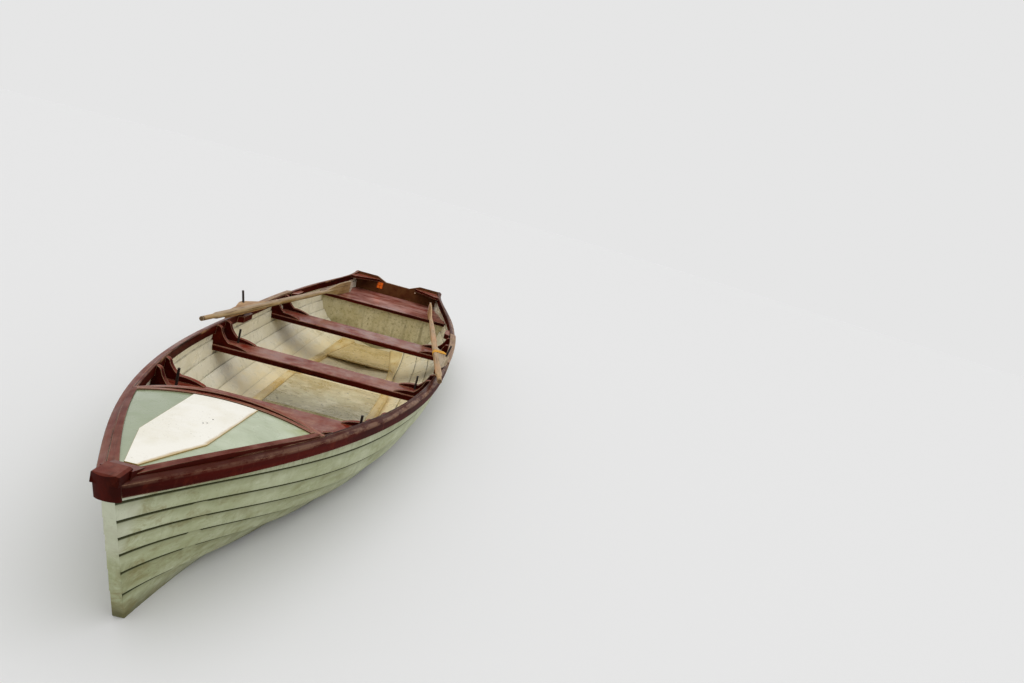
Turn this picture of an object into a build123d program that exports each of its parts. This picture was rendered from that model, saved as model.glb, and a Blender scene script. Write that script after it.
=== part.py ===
from build123d import *
from math import cos, hypot, radians, sin, tan
import os

# An open clinker-style rowing boat of moulded glass fibre with hardwood trim and two oars.
# Millimetres. X forward, Y to port, Z up, origin amidships on the waterline.

# Hull form: sections at the sheer, from the transom to the stem.
# The rake is how far the section's plane leans, top forward, in degrees.
STATIONS = (
    # along, half_breadth, sheer_height, bottom_height, rake, fineness, lap
    (-2870, 466, 540, -60, -8.0, 0.55, 9.0),
    (-2170, 631, 456, -85, -5.0, 0.32, 10.0),
    (-1370, 767, 401, -100, -2.0, 0.10, 10.0),
    (-470, 787, 386, -110, 0.0, 0.00, 10.0),
    (480, 737, 414, -110, 0.0, 0.00, 10.0),
    (1280, 605, 466, -105, 4.0, 0.08, 10.0),
    (1930, 421, 524, -95, 9.0, 0.45, 10.0),
    (2460, 210, 578, -85, 15.0, 0.90, 9.0),
    (2870, 20, 623, -80, 20.8, 1.00, 2.5),
)
# Where each strake's lower edge lies, as shares of a section's depth and half breadth,
# on a full section and on a fine one.
LANDS = (
    # full_depth, full_breadth, fine_depth, fine_breadth
    (0.21, 0.993, 0.11, 0.975),
    (0.40, 0.963, 0.22, 0.935),
    (0.58, 0.899, 0.325, 0.880),
    (0.74, 0.790, 0.43, 0.810),
    (0.87, 0.632, 0.55, 0.700),
    (0.955, 0.432, 0.70, 0.530),
)
shell = 8
cavity_rise = 60
rabbet_half = 20
keel_half = 16
keel_drop = 32
profile_ease = 1.5
forefoot_radius = 280
stem_solid = 110
transom_wall = 12

# Gunwale timbers
outwale_width = 24
outwale_width_stem = 20
outwale_depth = 62
inwale_width = 14
inwale_depth = 58
rail_bite = 5
seam_gap = 0.5
# A rail's corners: the tops slope outboard, the worn outer edge is eased
inner_crown = 8
seam_crown = 5
outer_crown = -3
arris = 4
worn_arris = 10
# Cap on the gunwale where the oars are worked
cap_aft = -1420
cap_fore = -450
cap_thickness = 11
cap_overhang = 6

# Transom board and the cut-out for a motor clamp
facing_thickness = 24
facing_depth = 190
notch_depth = 45
notch_top_half = 255
notch_floor_half = 130
reflector_size = 66
reflector_thickness = 6
knob_radius = 9
knob_length = 22

# Foredeck: a cambered sheet whose crest rises forward by a small slope
deck_aft = 1946
deck_fore = 2742
deck_crest = 597
deck_slope = 1.8
deck_radius = 1400
deck_thickness = 10
deck_aft_half = 394
deck_middle = 2400
deck_middle_half = 200
deck_fore_half = 33
deck_tip_half = 6
deck_beam_width = 30
deck_beam_depth = 70
deck_beam_rise = 16
deck_beam_radius = 1150
edging_gap = 8
edging_width = 22
edging_rise = 7
trim_width = 26
trim_rise = 4
trim_fore = 2806
panel_gap_aft = 38
panel_thickness = 5
panel_aft_half = 136
panel_shoulder = 2455
panel_shoulder_half = 120
panel_fore_half = 22
hook_half = 48
hook_rise = 24
stem_head_length = 74
stem_head_half = 42
stem_head_nose = 18
stem_head_rise = 34
stem_head_seat = 8
stem_head_drop = 112
stem_head_bevel = 8

# Seats: each thwart is a plank let down between the sides
THWARTS = (
    # name, aft_edge, width, top, thickness
    ("bow_thwart", 1215, 245, 348, 40),
    ("mid_thwart", 10, 220, 270, 40),
    ("aft_thwart", -1320, 295, 270, 40),
)
stern_seat_front = -2070
stern_seat_top = 365
stern_seat_thickness = 34
bulkhead_thickness = 14

# Grown knees that brace each thwart's ends to the gunwale
knee_thickness = 28
knee_set_in = 6
# The knee's outline: inboard of the inwale, and the height as a share of its rise or in mm
knee_shoulder = (30, 26)
knee_waist = (47, 0.55)
knee_throat = (88, 30)
knee_arm = (160, 24)
knee_tip = (222, 4)
quarter_knee_along = 250
quarter_knee_across = 270
quarter_knee_thickness = 28
quarter_knee_drop = 4

# Floor: panels let in between two moulded ridges that draw together aft
floor_thickness = 12
floor_gap = 0.5
ridge_top = -20
ridge_slope = 12
lip_width = 22
FLOORS = (
    # name, aft_end, fore_end, top, lip
    ("floor_aft", -1960, -1310, -38, 0),
    ("floor_middle", -560, 200, -38, 9),
    ("floor_forward", 214, 1130, -50, 0),
)
RIDGES = (
    # along, inner_half, outer_half
    (-1990, 180, 320),
    (-1340, 282, 336),
    (-560, 350, 410),
    (200, 350, 412),
    (1140, 300, 352),
)

# Thole pins and the pads that carry them
thole_cant = 12.0
thole_radius = 8
thole_along = -330
thole_out = 777
thole_mark = 441
thole_top = 556
thole_foot = 334
collar_radius = 19
collar_thickness = 6
pad_length = 250
pad_width = 34
pad_depth = 46
PADS = (
    # name, along
    ("mid", -330),
    ("aft", -1520),
)
thwart_pin_radius = 7
thwart_pin_height = 100
THWART_PINS = (
    # name, along, out, foot
    ("bow", 1324, 483, 348),
    ("mid", 56, 635, 270),
)

# Oars, shipped: looms on the gunwale inboard of the pins, blades on edge on the stern seat
loom_radius = 23
handle_radius = 16
handle_length = 140
inboard_length = 680
neck_radius = 17
neck_start = 1100
blade_start = 1440
tip_along = -2450
tip_out = 420
loom_height = 447
blade_width = 118
blade_thickness = 14
spine_tip = 4
block_fore = 380
block_shoulder = 180
block_cheek = 38
block_aft = 230
block_top = 468
block_bottom = 412
block_out = 28
pin_wood = 36
pin_clearance = 1.5
rest_gap = 0.3


def station_plane(station):
    """The raked plane of a section, its origin on the centreline at the height of the sheer."""
    along, _, sheer, _, rake, _, _ = station
    lean = radians(rake)
    return Plane(origin=(along, 0, sheer), x_dir=(0, 1, 0), z_dir=(cos(lean), 0, -sin(lean)))


def land_points(station):
    """The section's line through the lands, from the sheer down to the keel, one side."""
    _, half, sheer, bottom, rake, fineness, _ = station
    depth = (sheer - bottom) / cos(radians(rake))
    points = [(half, 0.0)]
    for full_d, full_b, fine_d, fine_b in LANDS:
        down = full_d + (fine_d - full_d) * fineness
        out = full_b + (fine_b - full_b) * fineness
        points.append((rabbet_half + (half - rabbet_half) * out, -depth * down))
    points.append((rabbet_half, -depth))
    return points


def strakes(station, inset):
    """Each strake's upper and lower edge, the lower edge standing proud by the lap."""
    lap = station[6]
    points = land_points(station)
    edges = []
    for number, (top, low) in enumerate(zip(points, points[1:])):
        length = hypot(low[0] - top[0], low[1] - top[1])
        out_y = (top[1] - low[1]) / length
        out_z = (low[0] - top[0]) / length
        proud = lap if number < len(LANDS) else 0
        edges.append(((top[0] - out_y * inset, top[1] - out_z * inset),
                      (low[0] + out_y * (proud - inset), low[1] + out_z * (proud - inset))))
    return edges


def section_outline(station, inset, rise=0):
    """A section's closed outline, inset by a wall's thickness and carried up past the sheer by a rise."""
    side = [point for strake in strakes(station, inset) for point in strake]
    lean = (side[1][0] - side[0][0]) / (side[1][1] - side[0][1])
    side[0] = (station[1] - inset + rise * lean, rise)
    side[-1] = (rabbet_half - inset / 2, land_points(station)[-1][1] + inset)
    other = [(-y, z) for y, z in reversed(side)]
    return side + other


def side_lean(station):
    """How far the sheer strake leans outboard for each millimetre of height."""
    top, low = strakes(station, 0)[0]
    return (low[0] - top[0]) / (low[1] - top[1])


def outwale_outline(station, width):
    """The outwale's section: a top that slopes outboard from the moulding's edge, its outer edge worn."""
    half = station[1]
    shift = -outwale_depth * side_lean(station)
    return [(half - shell + seam_gap, seam_crown), (half + width - worn_arris, outer_crown),
            (half + width - 2, outer_crown - worn_arris / 2), (half + width, outer_crown - worn_arris),
            (half + width + shift, -outwale_depth + arris),
            (half + width - arris + shift, -outwale_depth), (half - rail_bite + shift, -outwale_depth)]


def cap_outline(station):
    """The section of the cap that lies on the gunwale's top."""
    outer = station[1] + outwale_width + cap_overhang
    inner = station[1] - shell - inwale_width
    return [(inner, 0), (inner, inner_crown + cap_thickness - arris),
            (inner + arris, inner_crown + cap_thickness), (outer - arris, cap_thickness),
            (outer, cap_thickness - arris), (outer, outer_crown - arris),
            (outer - cap_overhang, -worn_arris)]


def inwale_outline(station):
    """The inwale's section, its inner edges eased."""
    half = station[1] - shell
    shift = -inwale_depth * side_lean(station)
    return [(half + rail_bite, seam_crown), (half - inwale_width + arris, inner_crown),
            (half - inwale_width, inner_crown - arris),
            (half - inwale_width + shift, -inwale_depth + arris),
            (half - inwale_width + arris + shift, -inwale_depth),
            (half + rail_bite + shift, -inwale_depth)]


def plank_outline(aft, fore, top, thickness):
    """A plank's section seen from the side, its upper edges eased."""
    return [(aft, top - thickness), (aft, top - arris), (aft + arris, top), (fore - arris, top),
            (fore, top - arris), (fore, top - thickness)]


def read_off(table, along, column):
    """A column of a table by distance along, in proportion between the two nearest rows."""
    for low, high in zip(table, table[1:]):
        if along <= high[0]:
            share = (along - low[0]) / (high[0] - low[0])
            return low[column] + (high[column] - low[column]) * share
    return table[-1][column]


def save(name, label):
    """Label a finished piece and write its file."""
    name.part.label = label
    export_step(name.part, f"parts/{label}.step")


os.makedirs("parts", exist_ok=True)
transom_station = STATIONS[0]
stem_station = STATIONS[-1]
transom_lean = radians(transom_station[4])
stem_lean = radians(stem_station[4])
keel_bottom = min(row[3] for row in STATIONS) - keel_drop

# The moulding's outer form
with BuildPart() as outer_form:
    for row in STATIONS:
        with BuildSketch(station_plane(row)):
            with BuildLine():
                Polyline(*section_outline(row, 0), close=True)
            make_face()
    loft()

# The hollow inside the moulding, stopped short of the stem and the transom
with BuildPart() as cavity:
    for row in STATIONS:
        with BuildSketch(station_plane(row)):
            with BuildLine():
                Polyline(*section_outline(row, shell, cavity_rise), close=True)
            make_face()
    loft()
    split(bisect_by=station_plane(transom_station).offset(transom_wall), keep=Keep.TOP)
    split(bisect_by=station_plane(stem_station).offset(-stem_solid), keep=Keep.BOTTOM)

# Stem line carried down to the keel, for the rounded forefoot
stem_foot = stem_station[0] - (stem_station[2] - keel_bottom) * tan(stem_lean)
transom_foot = transom_station[0] - (transom_station[2] - keel_bottom) * tan(transom_lean)
beyond = 400

# Cut-out in the transom and its board for a motor's clamp
with BuildPart() as motor_notch:
    with BuildSketch(Plane.YZ.offset(transom_station[0] - 60)):
        with BuildLine():
            brim = transom_station[2] + inner_crown
            notch_floor = transom_station[2] - notch_depth
            Polyline((-notch_top_half, brim), (-notch_floor_half, notch_floor),
                     (notch_floor_half, notch_floor), (notch_top_half, brim), close=True)
        make_face()
    extrude(amount=200)

with BuildPart() as hull:
    add(outer_form.part)
    with BuildSketch(Plane.XZ):
        with BuildLine():
            Polyline((transom_foot, keel_bottom), (stem_foot, keel_bottom),
                     (stem_foot + 90 * tan(stem_lean), keel_bottom + 90), (0, 0),
                     (transom_foot, keel_bottom + 90), close=True)
        make_face()
    extrude(amount=keel_half, both=True)
    with BuildSketch(Plane.XZ) as forefoot:
        with BuildLine():
            low = keel_bottom - profile_ease
            foot = stem_foot + profile_ease
            profile = FilletPolyline((0, low), (foot, low), (foot + beyond * tan(stem_lean), low + beyond),
                                     radius=forefoot_radius)
            Polyline(profile @ 1, (foot + beyond, low + beyond), (foot + beyond, low - beyond),
                     (0, low - beyond), profile @ 0)
        make_face()
    extrude(amount=4 * rabbet_half, both=True, mode=Mode.SUBTRACT)
    add(cavity.part, mode=Mode.SUBTRACT)
    add(motor_notch.part, mode=Mode.SUBTRACT)
save(hull, "hull")

# Thole pin on the port side, canted outboard, with its collar
thole_lean = radians(thole_cant)
thole_plane = Plane(origin=(thole_along, thole_out, thole_mark), x_dir=(1, 0, 0),
                    z_dir=(0, sin(thole_lean), cos(thole_lean)))
collar_top = (block_bottom - thole_mark) / cos(thole_lean) - collar_radius * tan(thole_lean) - rest_gap
with BuildPart() as thole_pin_port:
    with BuildSketch(thole_plane.offset((thole_foot - thole_mark) / cos(thole_lean))):
        Circle(thole_radius)
    extrude(amount=(thole_top - thole_foot) / cos(thole_lean))
    chamfer(thole_pin_port.edges().filter_by(GeomType.CIRCLE).sort_by(Axis.Z)[-1], 2)
    with BuildSketch(thole_plane.offset(collar_top - collar_thickness)):
        Circle(collar_radius)
    extrude(amount=collar_thickness)
save(thole_pin_port, "thole_pin_port")
with BuildPart() as thole_pin_starboard:
    mirror(thole_pin_port.part, about=Plane.XZ)
save(thole_pin_starboard, "thole_pin_starboard")

# Gunwale timbers
with BuildPart() as outwale_port:
    for row in STATIONS:
        width = outwale_width_stem if row is stem_station else outwale_width
        with BuildSketch(station_plane(row)):
            with BuildLine():
                Polyline(*outwale_outline(row, width), close=True)
            make_face()
    loft()
    add(outer_form.part, mode=Mode.SUBTRACT)
with BuildPart() as inwale_port:
    for row in STATIONS[:-1]:
        with BuildSketch(station_plane(row)):
            with BuildLine():
                Polyline(*inwale_outline(row), close=True)
            make_face()
    loft()
    add(cavity.part, mode=Mode.INTERSECT)
    split(bisect_by=station_plane(transom_station).offset(transom_wall + facing_thickness), keep=Keep.TOP)
    add(thole_pin_port.part, mode=Mode.SUBTRACT)
with BuildPart() as gunwale_cap_port:
    for row in STATIONS[1:5]:
        with BuildSketch(station_plane(row)):
            with BuildLine():
                Polyline(*cap_outline(row), close=True)
            make_face()
    loft()
    with BuildSketch(Plane.XY.offset(200)):
        with Locations(((cap_aft + cap_fore) / 2, 0)):
            Rectangle(cap_fore - cap_aft, 2000)
    extrude(amount=400, mode=Mode.INTERSECT)
    add(outwale_port.part, mode=Mode.SUBTRACT)
    add(inwale_port.part, mode=Mode.SUBTRACT)
    add(outer_form.part, mode=Mode.SUBTRACT)
rails = ((outwale_port, "outwale"), (inwale_port, "inwale"), (gunwale_cap_port, "gunwale_cap"))
for rail, label in rails:
    save(rail, f"{label}_port")
    with BuildPart() as other_rail:
        mirror(rail.part, about=Plane.XZ)
    save(other_rail, f"{label}_starboard")

# Board inside the transom
with BuildPart() as transom_facing:
    with BuildSketch(station_plane(transom_station).offset(transom_wall)):
        with Locations((0, -facing_depth / 2)):
            Rectangle(2 * transom_station[1], facing_depth)
    extrude(amount=facing_thickness)
    add(cavity.part, mode=Mode.INTERSECT)
    add(motor_notch.part, mode=Mode.SUBTRACT)
save(transom_facing, "transom_facing")

face_plane = station_plane(transom_station).offset(transom_wall + facing_thickness)
with BuildPart() as reflector:
    with BuildSketch(face_plane):
        with Locations((-190, -notch_depth - reflector_size / 2 - 18)):
            RectangleRounded(reflector_size, reflector_size, 6)
    extrude(amount=reflector_thickness)
save(reflector, "reflector")
with BuildPart() as light_knob:
    with BuildSketch(face_plane):
        with Locations((205, -78)):
            Circle(knob_radius)
    extrude(amount=knob_length, taper=8)
save(light_knob, "light_knob")

# Quarter knees, flat brackets in the after corners
for side, word in ((1, "port"), (-1, "starboard")):
    with BuildPart() as quarter_knee:
        top = transom_station[2] - 20
        aft = transom_station[0]
        with BuildSketch(Plane.XY.offset(top - quarter_knee_thickness - quarter_knee_drop)):
            with BuildLine():
                Polyline((aft - 60, side * 600), (aft - 60, side * (470 - quarter_knee_across)),
                         (aft + 60, side * (470 - quarter_knee_across)),
                         (aft + quarter_knee_along, side * 440), (aft + quarter_knee_along, side * 700),
                         close=True)
            make_face()
        extrude(amount=quarter_knee_thickness)
        add(cavity.part, mode=Mode.INTERSECT)
        add(transom_facing.part, mode=Mode.SUBTRACT)
        add(inwale_port.part if side > 0 else inwale_port.part.mirror(Plane.XZ), mode=Mode.SUBTRACT)
    save(quarter_knee, f"quarter_knee_{word}")

# Thwarts, stern seat and the panel under its front edge
for name, aft_edge, width, top, thickness in THWARTS:
    with BuildPart() as thwart:
        with BuildSketch(Plane.XZ):
            with BuildLine():
                Polyline(*plank_outline(aft_edge, aft_edge + width, top, thickness), close=True)
            make_face()
        extrude(amount=850, both=True)
        add(cavity.part, mode=Mode.INTERSECT)
    save(thwart, name)
with BuildPart() as stern_seat:
    with BuildSketch(Plane.XZ):
        with BuildLine():
            Polyline(*plank_outline(transom_station[0], stern_seat_front, stern_seat_top,
                                    stern_seat_thickness), close=True)
        make_face()
    extrude(amount=850, both=True)
    add(cavity.part, mode=Mode.INTERSECT)
    add(transom_facing.part, mode=Mode.SUBTRACT)
save(stern_seat, "stern_seat")
with BuildPart() as stern_bulkhead:
    with BuildSketch(Plane.YZ.offset(stern_seat_front - 30)):
        with Locations((0, (stern_seat_top - stern_seat_thickness - 200) / 2)):
            Rectangle(1700, stern_seat_top - stern_seat_thickness + 200)
    extrude(amount=-bulkhead_thickness)
    add(cavity.part, mode=Mode.INTERSECT)
save(stern_bulkhead, "stern_bulkhead")

# Knees, forward and aft on each thwart end: a shoulder under the inwale, a throat, and a long low arm
for name, aft_edge, width, top, thickness in THWARTS:
    places = (("aft", aft_edge + knee_set_in), ("fore", aft_edge + width - knee_set_in - knee_thickness))
    for place, along in places:
        inner = read_off(STATIONS, along, 1) - shell - inwale_width
        sheer = read_off(STATIONS, along, 2)
        rise = sheer - top
        with BuildPart() as knee:
            with BuildSketch(Plane.YZ.offset(along)):
                with BuildLine():
                    root = (inner + 100, sheer - 1)
                    crown = (inner - 4, sheer - 1)
                    shoulder = (inner - knee_shoulder[0], sheer - knee_shoulder[1])
                    waist = (inner - knee_waist[0], top + rise * knee_waist[1])
                    throat = (inner - knee_throat[0], top + knee_throat[1])
                    arm = (inner - knee_arm[0], top + knee_arm[1])
                    tip = (inner - knee_tip[0], top + knee_tip[1])
                    Polyline((inner + 100, top), root, crown)
                    ThreePointArc(crown, (inner - 20, sheer - 8), shoulder)
                    ThreePointArc(shoulder, waist, throat)
                    ThreePointArc(throat, arm, tip)
                    Polyline(tip, (inner - knee_tip[0], top), (inner + 100, top))
                make_face()
            extrude(amount=knee_thickness)
            add(cavity.part, mode=Mode.INTERSECT)
            add(inwale_port.part, mode=Mode.SUBTRACT)
        label = f"{name.replace('_thwart', '')}_knee_{place}"
        save(knee, f"{label}_port")
        with BuildPart() as other_knee:
            mirror(knee.part, about=Plane.XZ)
        save(other_knee, f"{label}_starboard")

# Moulded ridges along the bottom, and the floor panels between them
ridge_inner = [(along, inner) for along, inner, outer in RIDGES]
ridge_outer = [(along, outer) for along, inner, outer in RIDGES]
for side, word in ((1, "port"), (-1, "starboard")):
    with BuildPart() as stringer:
        with BuildSketch(Plane.XY.offset(keel_bottom)):
            with BuildLine():
                Polyline(*[(along, side * across) for along, across in ridge_inner + ridge_outer[::-1]],
                         close=True)
            make_face()
        extrude(amount=ridge_top - keel_bottom)
        chamfer(stringer.faces().sort_by(Axis.Z)[-1].edges(), ridge_slope)
        add(cavity.part, mode=Mode.INTERSECT)
    save(stringer, f"stringer_{word}")
for name, aft_end, fore_end, top, lip in FLOORS:
    with BuildPart() as floor:
        with BuildSketch(Plane.XY.offset(top - floor_thickness)):
            with BuildLine():
                edge = [(along, across - floor_gap) for along, across in ridge_inner]
                Polyline(*edge, *[(along, -across) for along, across in edge[::-1]], close=True)
            make_face()
            with Locations(((aft_end + fore_end) / 2, 0)):
                Rectangle(fore_end - aft_end, 1000, mode=Mode.INTERSECT)
        extrude(amount=floor_thickness)
        if lip:
            with BuildSketch(Plane.XY.offset(top)):
                with Locations((fore_end - lip_width / 2, 0)):
                    Rectangle(lip_width, 2 * read_off(RIDGES, fore_end, 1) - 2 * ridge_slope)
            extrude(amount=lip)
        add(cavity.part, mode=Mode.INTERSECT)
    save(floor, name)

# Foredeck
crest_plane = Plane(origin=(deck_aft, 0, deck_crest), x_dir=(0, 1, 0),
                    z_dir=(cos(radians(deck_slope)), 0, sin(radians(deck_slope))))
deck_reach = 1000


def camber_slab(rise, thickness, back=0, radius=deck_radius):
    """A cambered slab about the deck's crest, its top a rise above the deck, running fore and aft."""
    half = 480
    with BuildPart() as slab:
        with BuildSketch(crest_plane.offset(-back)):
            with BuildLine():
                sag = radius - (radius ** 2 - half ** 2) ** 0.5
                upper = ThreePointArc((-half, rise - sag), (0, rise), (half, rise - sag))
                lower = ThreePointArc((half, rise - sag - thickness), (0, rise - thickness),
                                      (-half, rise - sag - thickness))
                Line(upper @ 1, lower @ 0)
                Line(lower @ 1, upper @ 0)
            make_face()
        extrude(amount=deck_reach + back)
    return slab.part


def deck_outline(spread, aft, fore):
    """The deck's outline seen from above, spread past its edge, between two distances along."""
    with BuildSketch(Plane.XY.offset(400)) as outline:
        with BuildLine():
            port = ThreePointArc((beam_aft, deck_aft_half + spread),
                                 (deck_middle, deck_middle_half + spread),
                                 (deck_fore, deck_fore_half + spread))
            tip = deck_tip_half + spread
            Polyline(port @ 1, (trim_fore, tip), (trim_fore, -tip), (deck_fore, -deck_fore_half - spread))
            starboard = ThreePointArc((deck_fore, -deck_fore_half - spread),
                                      (deck_middle, -deck_middle_half - spread),
                                      (beam_aft, -deck_aft_half - spread))
            Line(starboard @ 1, port @ 0)
        make_face()
        with Locations(((aft + fore) / 2, 0)):
            Rectangle(fore - aft, 1000, mode=Mode.INTERSECT)
    return outline.sketch


beam_aft = deck_aft - deck_beam_width
with BuildPart() as foredeck:
    add(deck_outline(0, deck_aft, deck_fore))
    extrude(amount=400)
    add(camber_slab(0, deck_thickness), mode=Mode.INTERSECT)
save(foredeck, "foredeck")
with BuildPart() as deck_panel:
    with BuildSketch(Plane.XY.offset(400)):
        panel_aft = deck_aft + panel_gap_aft
        Polygon((panel_aft, -panel_aft_half), (panel_shoulder, -panel_shoulder_half),
                (deck_fore - 6, -panel_fore_half), (deck_fore - 6, panel_fore_half),
                (panel_shoulder, panel_shoulder_half), (panel_aft, panel_aft_half), align=None)
    extrude(amount=400)
    add(camber_slab(panel_thickness, panel_thickness), mode=Mode.INTERSECT)
save(deck_panel, "deck_panel")
with BuildPart() as deck_beam:
    add(deck_outline(trim_width, beam_aft, deck_aft))
    extrude(amount=400)
    add(camber_slab(deck_beam_rise, deck_beam_depth, 200, deck_beam_radius), mode=Mode.INTERSECT)
    add(outer_form.part, mode=Mode.SUBTRACT)
    for rail in (inwale_port, outwale_port):
        add(rail.part, mode=Mode.SUBTRACT)
        add(rail.part.mirror(Plane.XZ), mode=Mode.SUBTRACT)
save(deck_beam, "deck_beam")
with BuildPart() as deck_edging:
    add(deck_outline(0, deck_aft + edging_gap, deck_aft + edging_gap + edging_width))
    extrude(amount=400)
    add(camber_slab(edging_rise, edging_rise), mode=Mode.INTERSECT)
save(deck_edging, "deck_edging")
with BuildPart() as deck_trim_port:
    add(deck_outline(trim_width, deck_aft, trim_fore))
    extrude(amount=400)
    add(deck_outline(0, deck_aft, trim_fore))
    extrude(amount=400, mode=Mode.SUBTRACT)
    split(bisect_by=Plane.XZ, keep=Keep.BOTTOM)
    add(camber_slab(trim_rise, 90, 200), mode=Mode.INTERSECT)
    add(outer_form.part, mode=Mode.SUBTRACT)
    add(outwale_port.part, mode=Mode.SUBTRACT)
    add(inwale_port.part, mode=Mode.SUBTRACT)

# Stem head: a level block whose rounded nose runs down over the rails' ends
down_stem = (-sin(stem_lean), 0, -cos(stem_lean))
head_plane = Plane.XY.offset(stem_station[2] + stem_head_rise)
head_fore = stem_station[0] + stem_head_rise * tan(stem_lean)
with BuildPart() as stem_head:
    with BuildSketch(head_plane):
        with Locations((head_fore - stem_head_length / 2, 0)):
            Rectangle(stem_head_length, 2 * stem_head_half)
    extrude(amount=-stem_head_rise - stem_head_seat)
    with BuildSketch(head_plane):
        with Locations((head_fore, 0)):
            Ellipse(stem_head_nose, stem_head_half)
    extrude(amount=stem_head_drop, dir=down_stem)
    for plane, low, high in ((Plane.YZ, -stem_head_half, stem_head_half),
                             (Plane.XZ, head_fore - stem_head_length, head_fore + stem_head_nose)):
        crown = stem_station[2] + stem_head_rise
        with BuildSketch(plane):
            with BuildLine():
                Polyline((low, 0), (low, crown - stem_head_bevel), (low + stem_head_bevel, crown),
                         (high - stem_head_bevel, crown), (high, crown - stem_head_bevel), (high, 0),
                         close=True)
            make_face()
        extrude(amount=3000, both=True, mode=Mode.INTERSECT)
    add(outer_form.part, mode=Mode.SUBTRACT)
    add(outwale_port.part, mode=Mode.SUBTRACT)
    add(outwale_port.part.mirror(Plane.XZ), mode=Mode.SUBTRACT)
save(stem_head, "stem_head")
with BuildPart() as port_trim:
    add(deck_trim_port.part)
    add(stem_head.part, mode=Mode.SUBTRACT)
save(port_trim, "deck_trim_port")
with BuildPart() as deck_trim_starboard:
    mirror(port_trim.part, about=Plane.XZ)
save(deck_trim_starboard, "deck_trim_starboard")

# Breast hook: the wedge between the trims' ends, falling from the stem head to the deck
hook_foot = deck_crest + (deck_fore - deck_aft) * sin(radians(deck_slope)) + trim_rise
with BuildPart() as breast_hook:
    with BuildSketch(Plane.XZ):
        with BuildLine():
            Polyline((deck_fore, hook_foot - 40), (deck_fore, hook_foot),
                     (trim_fore + 20, stem_station[2] + hook_rise),
                     (trim_fore + 20, hook_foot - 40), close=True)
        make_face()
    extrude(amount=hook_half, both=True)
    for other in (outer_form, outwale_port, stem_head, deck_trim_port):
        add(other.part, mode=Mode.SUBTRACT)
        add(other.part.mirror(Plane.XZ), mode=Mode.SUBTRACT)
save(breast_hook, "breast_hook")

# Pads along the inwale at each rowing place
for name, along in PADS:
    half = read_off(STATIONS, along, 1) - shell
    sheer = read_off(STATIONS, along, 2)
    with BuildPart() as pad:
        with BuildSketch(Plane.XY.offset(sheer - pad_depth - 8)):
            with BuildLine():
                Polyline((along - pad_length / 2, half), (along + pad_length / 2, half),
                         (along + pad_length / 3, half - inwale_width - pad_width),
                         (along - pad_length / 3, half - inwale_width - pad_width), close=True)
            make_face()
        extrude(amount=pad_depth)
        add(cavity.part, mode=Mode.INTERSECT)
        add(inwale_port.part, mode=Mode.SUBTRACT)
        add(thole_pin_port.part, mode=Mode.SUBTRACT)
    save(pad, f"thole_pad_{name}_port")
    with BuildPart() as other_pad:
        mirror(pad.part, about=Plane.XZ)
    save(other_pad, f"thole_pad_{name}_starboard")

# Spare thole pins standing in the bow and middle thwarts
for name, along, out, foot in THWART_PINS:
    with BuildPart() as thwart_pins:
        with BuildSketch(Plane.XY.offset(foot)):
            with Locations((along, out), (along, -out)):
                Circle(thwart_pin_radius)
        extrude(amount=thwart_pin_height)
    save(thwart_pins, f"{name}_thwart_pins")

# Oars
loom_out = thole_out - thole_radius - pin_clearance - pin_wood - loom_radius
tip_height = stern_seat_top + rest_gap + blade_width / 2
for side, word in ((1, "port"), (-1, "starboard")):
    root_point = Vector(thole_along, side * loom_out, loom_height)
    tip_point = Vector(tip_along, side * tip_out, tip_height)
    reach = (tip_point - root_point).length
    aft_way = (tip_point - root_point).normalized()
    edge_plane = Plane(origin=root_point, x_dir=aft_way, z_dir=aft_way.cross(Vector(0, 0, 1)))
    with BuildPart() as oar:
        with BuildSketch(edge_plane):
            with BuildLine():
                Polyline((-inboard_length, 0), (-inboard_length, handle_radius),
                         (handle_length - inboard_length, handle_radius),
                         (handle_length - inboard_length + 40, loom_radius), (neck_start, loom_radius),
                         (blade_start, neck_radius), (reach - 260, spine_tip),
                         (reach - 260, 0), close=True)
            make_face()
        revolve(axis=Axis(root_point, aft_way))
        with BuildSketch(edge_plane):
            with BuildLine():
                half = blade_width / 2
                Polyline((reach - 60, -half), (blade_start + 330, -half), (blade_start, -neck_radius),
                         (blade_start, neck_radius), (blade_start + 330, half), (reach - 60, half))
                ThreePointArc((reach - 60, half), (reach, 0), (reach - 60, -half))
            make_face()
        extrude(amount=blade_thickness / 2, both=True)
    save(oar, f"oar_{word}")
    with BuildPart() as oar_block:
        with BuildSketch(Plane.XY.offset(block_bottom)):
            with BuildLine():
                slope = side * aft_way.Y / aft_way.X
                outer = thole_out + block_out
                cheek = loom_out + slope * block_shoulder + block_cheek
                Polyline((thole_along + block_fore, side * (loom_out + slope * block_fore)),
                         (thole_along + block_shoulder, side * cheek),
                         (thole_along + block_out, side * outer), (thole_along - block_out, side * outer),
                         (thole_along - block_aft, side * (loom_out - slope * block_aft)), close=True)
            make_face()
        extrude(amount=block_top - block_bottom)
        add(oar.part, mode=Mode.SUBTRACT)
        with BuildSketch(Plane(origin=(thole_along, side * thole_out, thole_mark), x_dir=(1, 0, 0),
                               z_dir=(0, side * sin(thole_lean), cos(thole_lean)))):
            Circle(thole_radius + pin_clearance)
        extrude(amount=80, both=True, mode=Mode.SUBTRACT)
    save(oar_block, f"oar_block_{word}")
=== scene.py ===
import math

import bmesh
import bpy
from bpy.props import FloatProperty, FloatVectorProperty, PointerProperty
from bpy.types import Operator, Panel, PropertyGroup
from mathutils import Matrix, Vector
from mathutils.bvhtree import BVHTree


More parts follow.
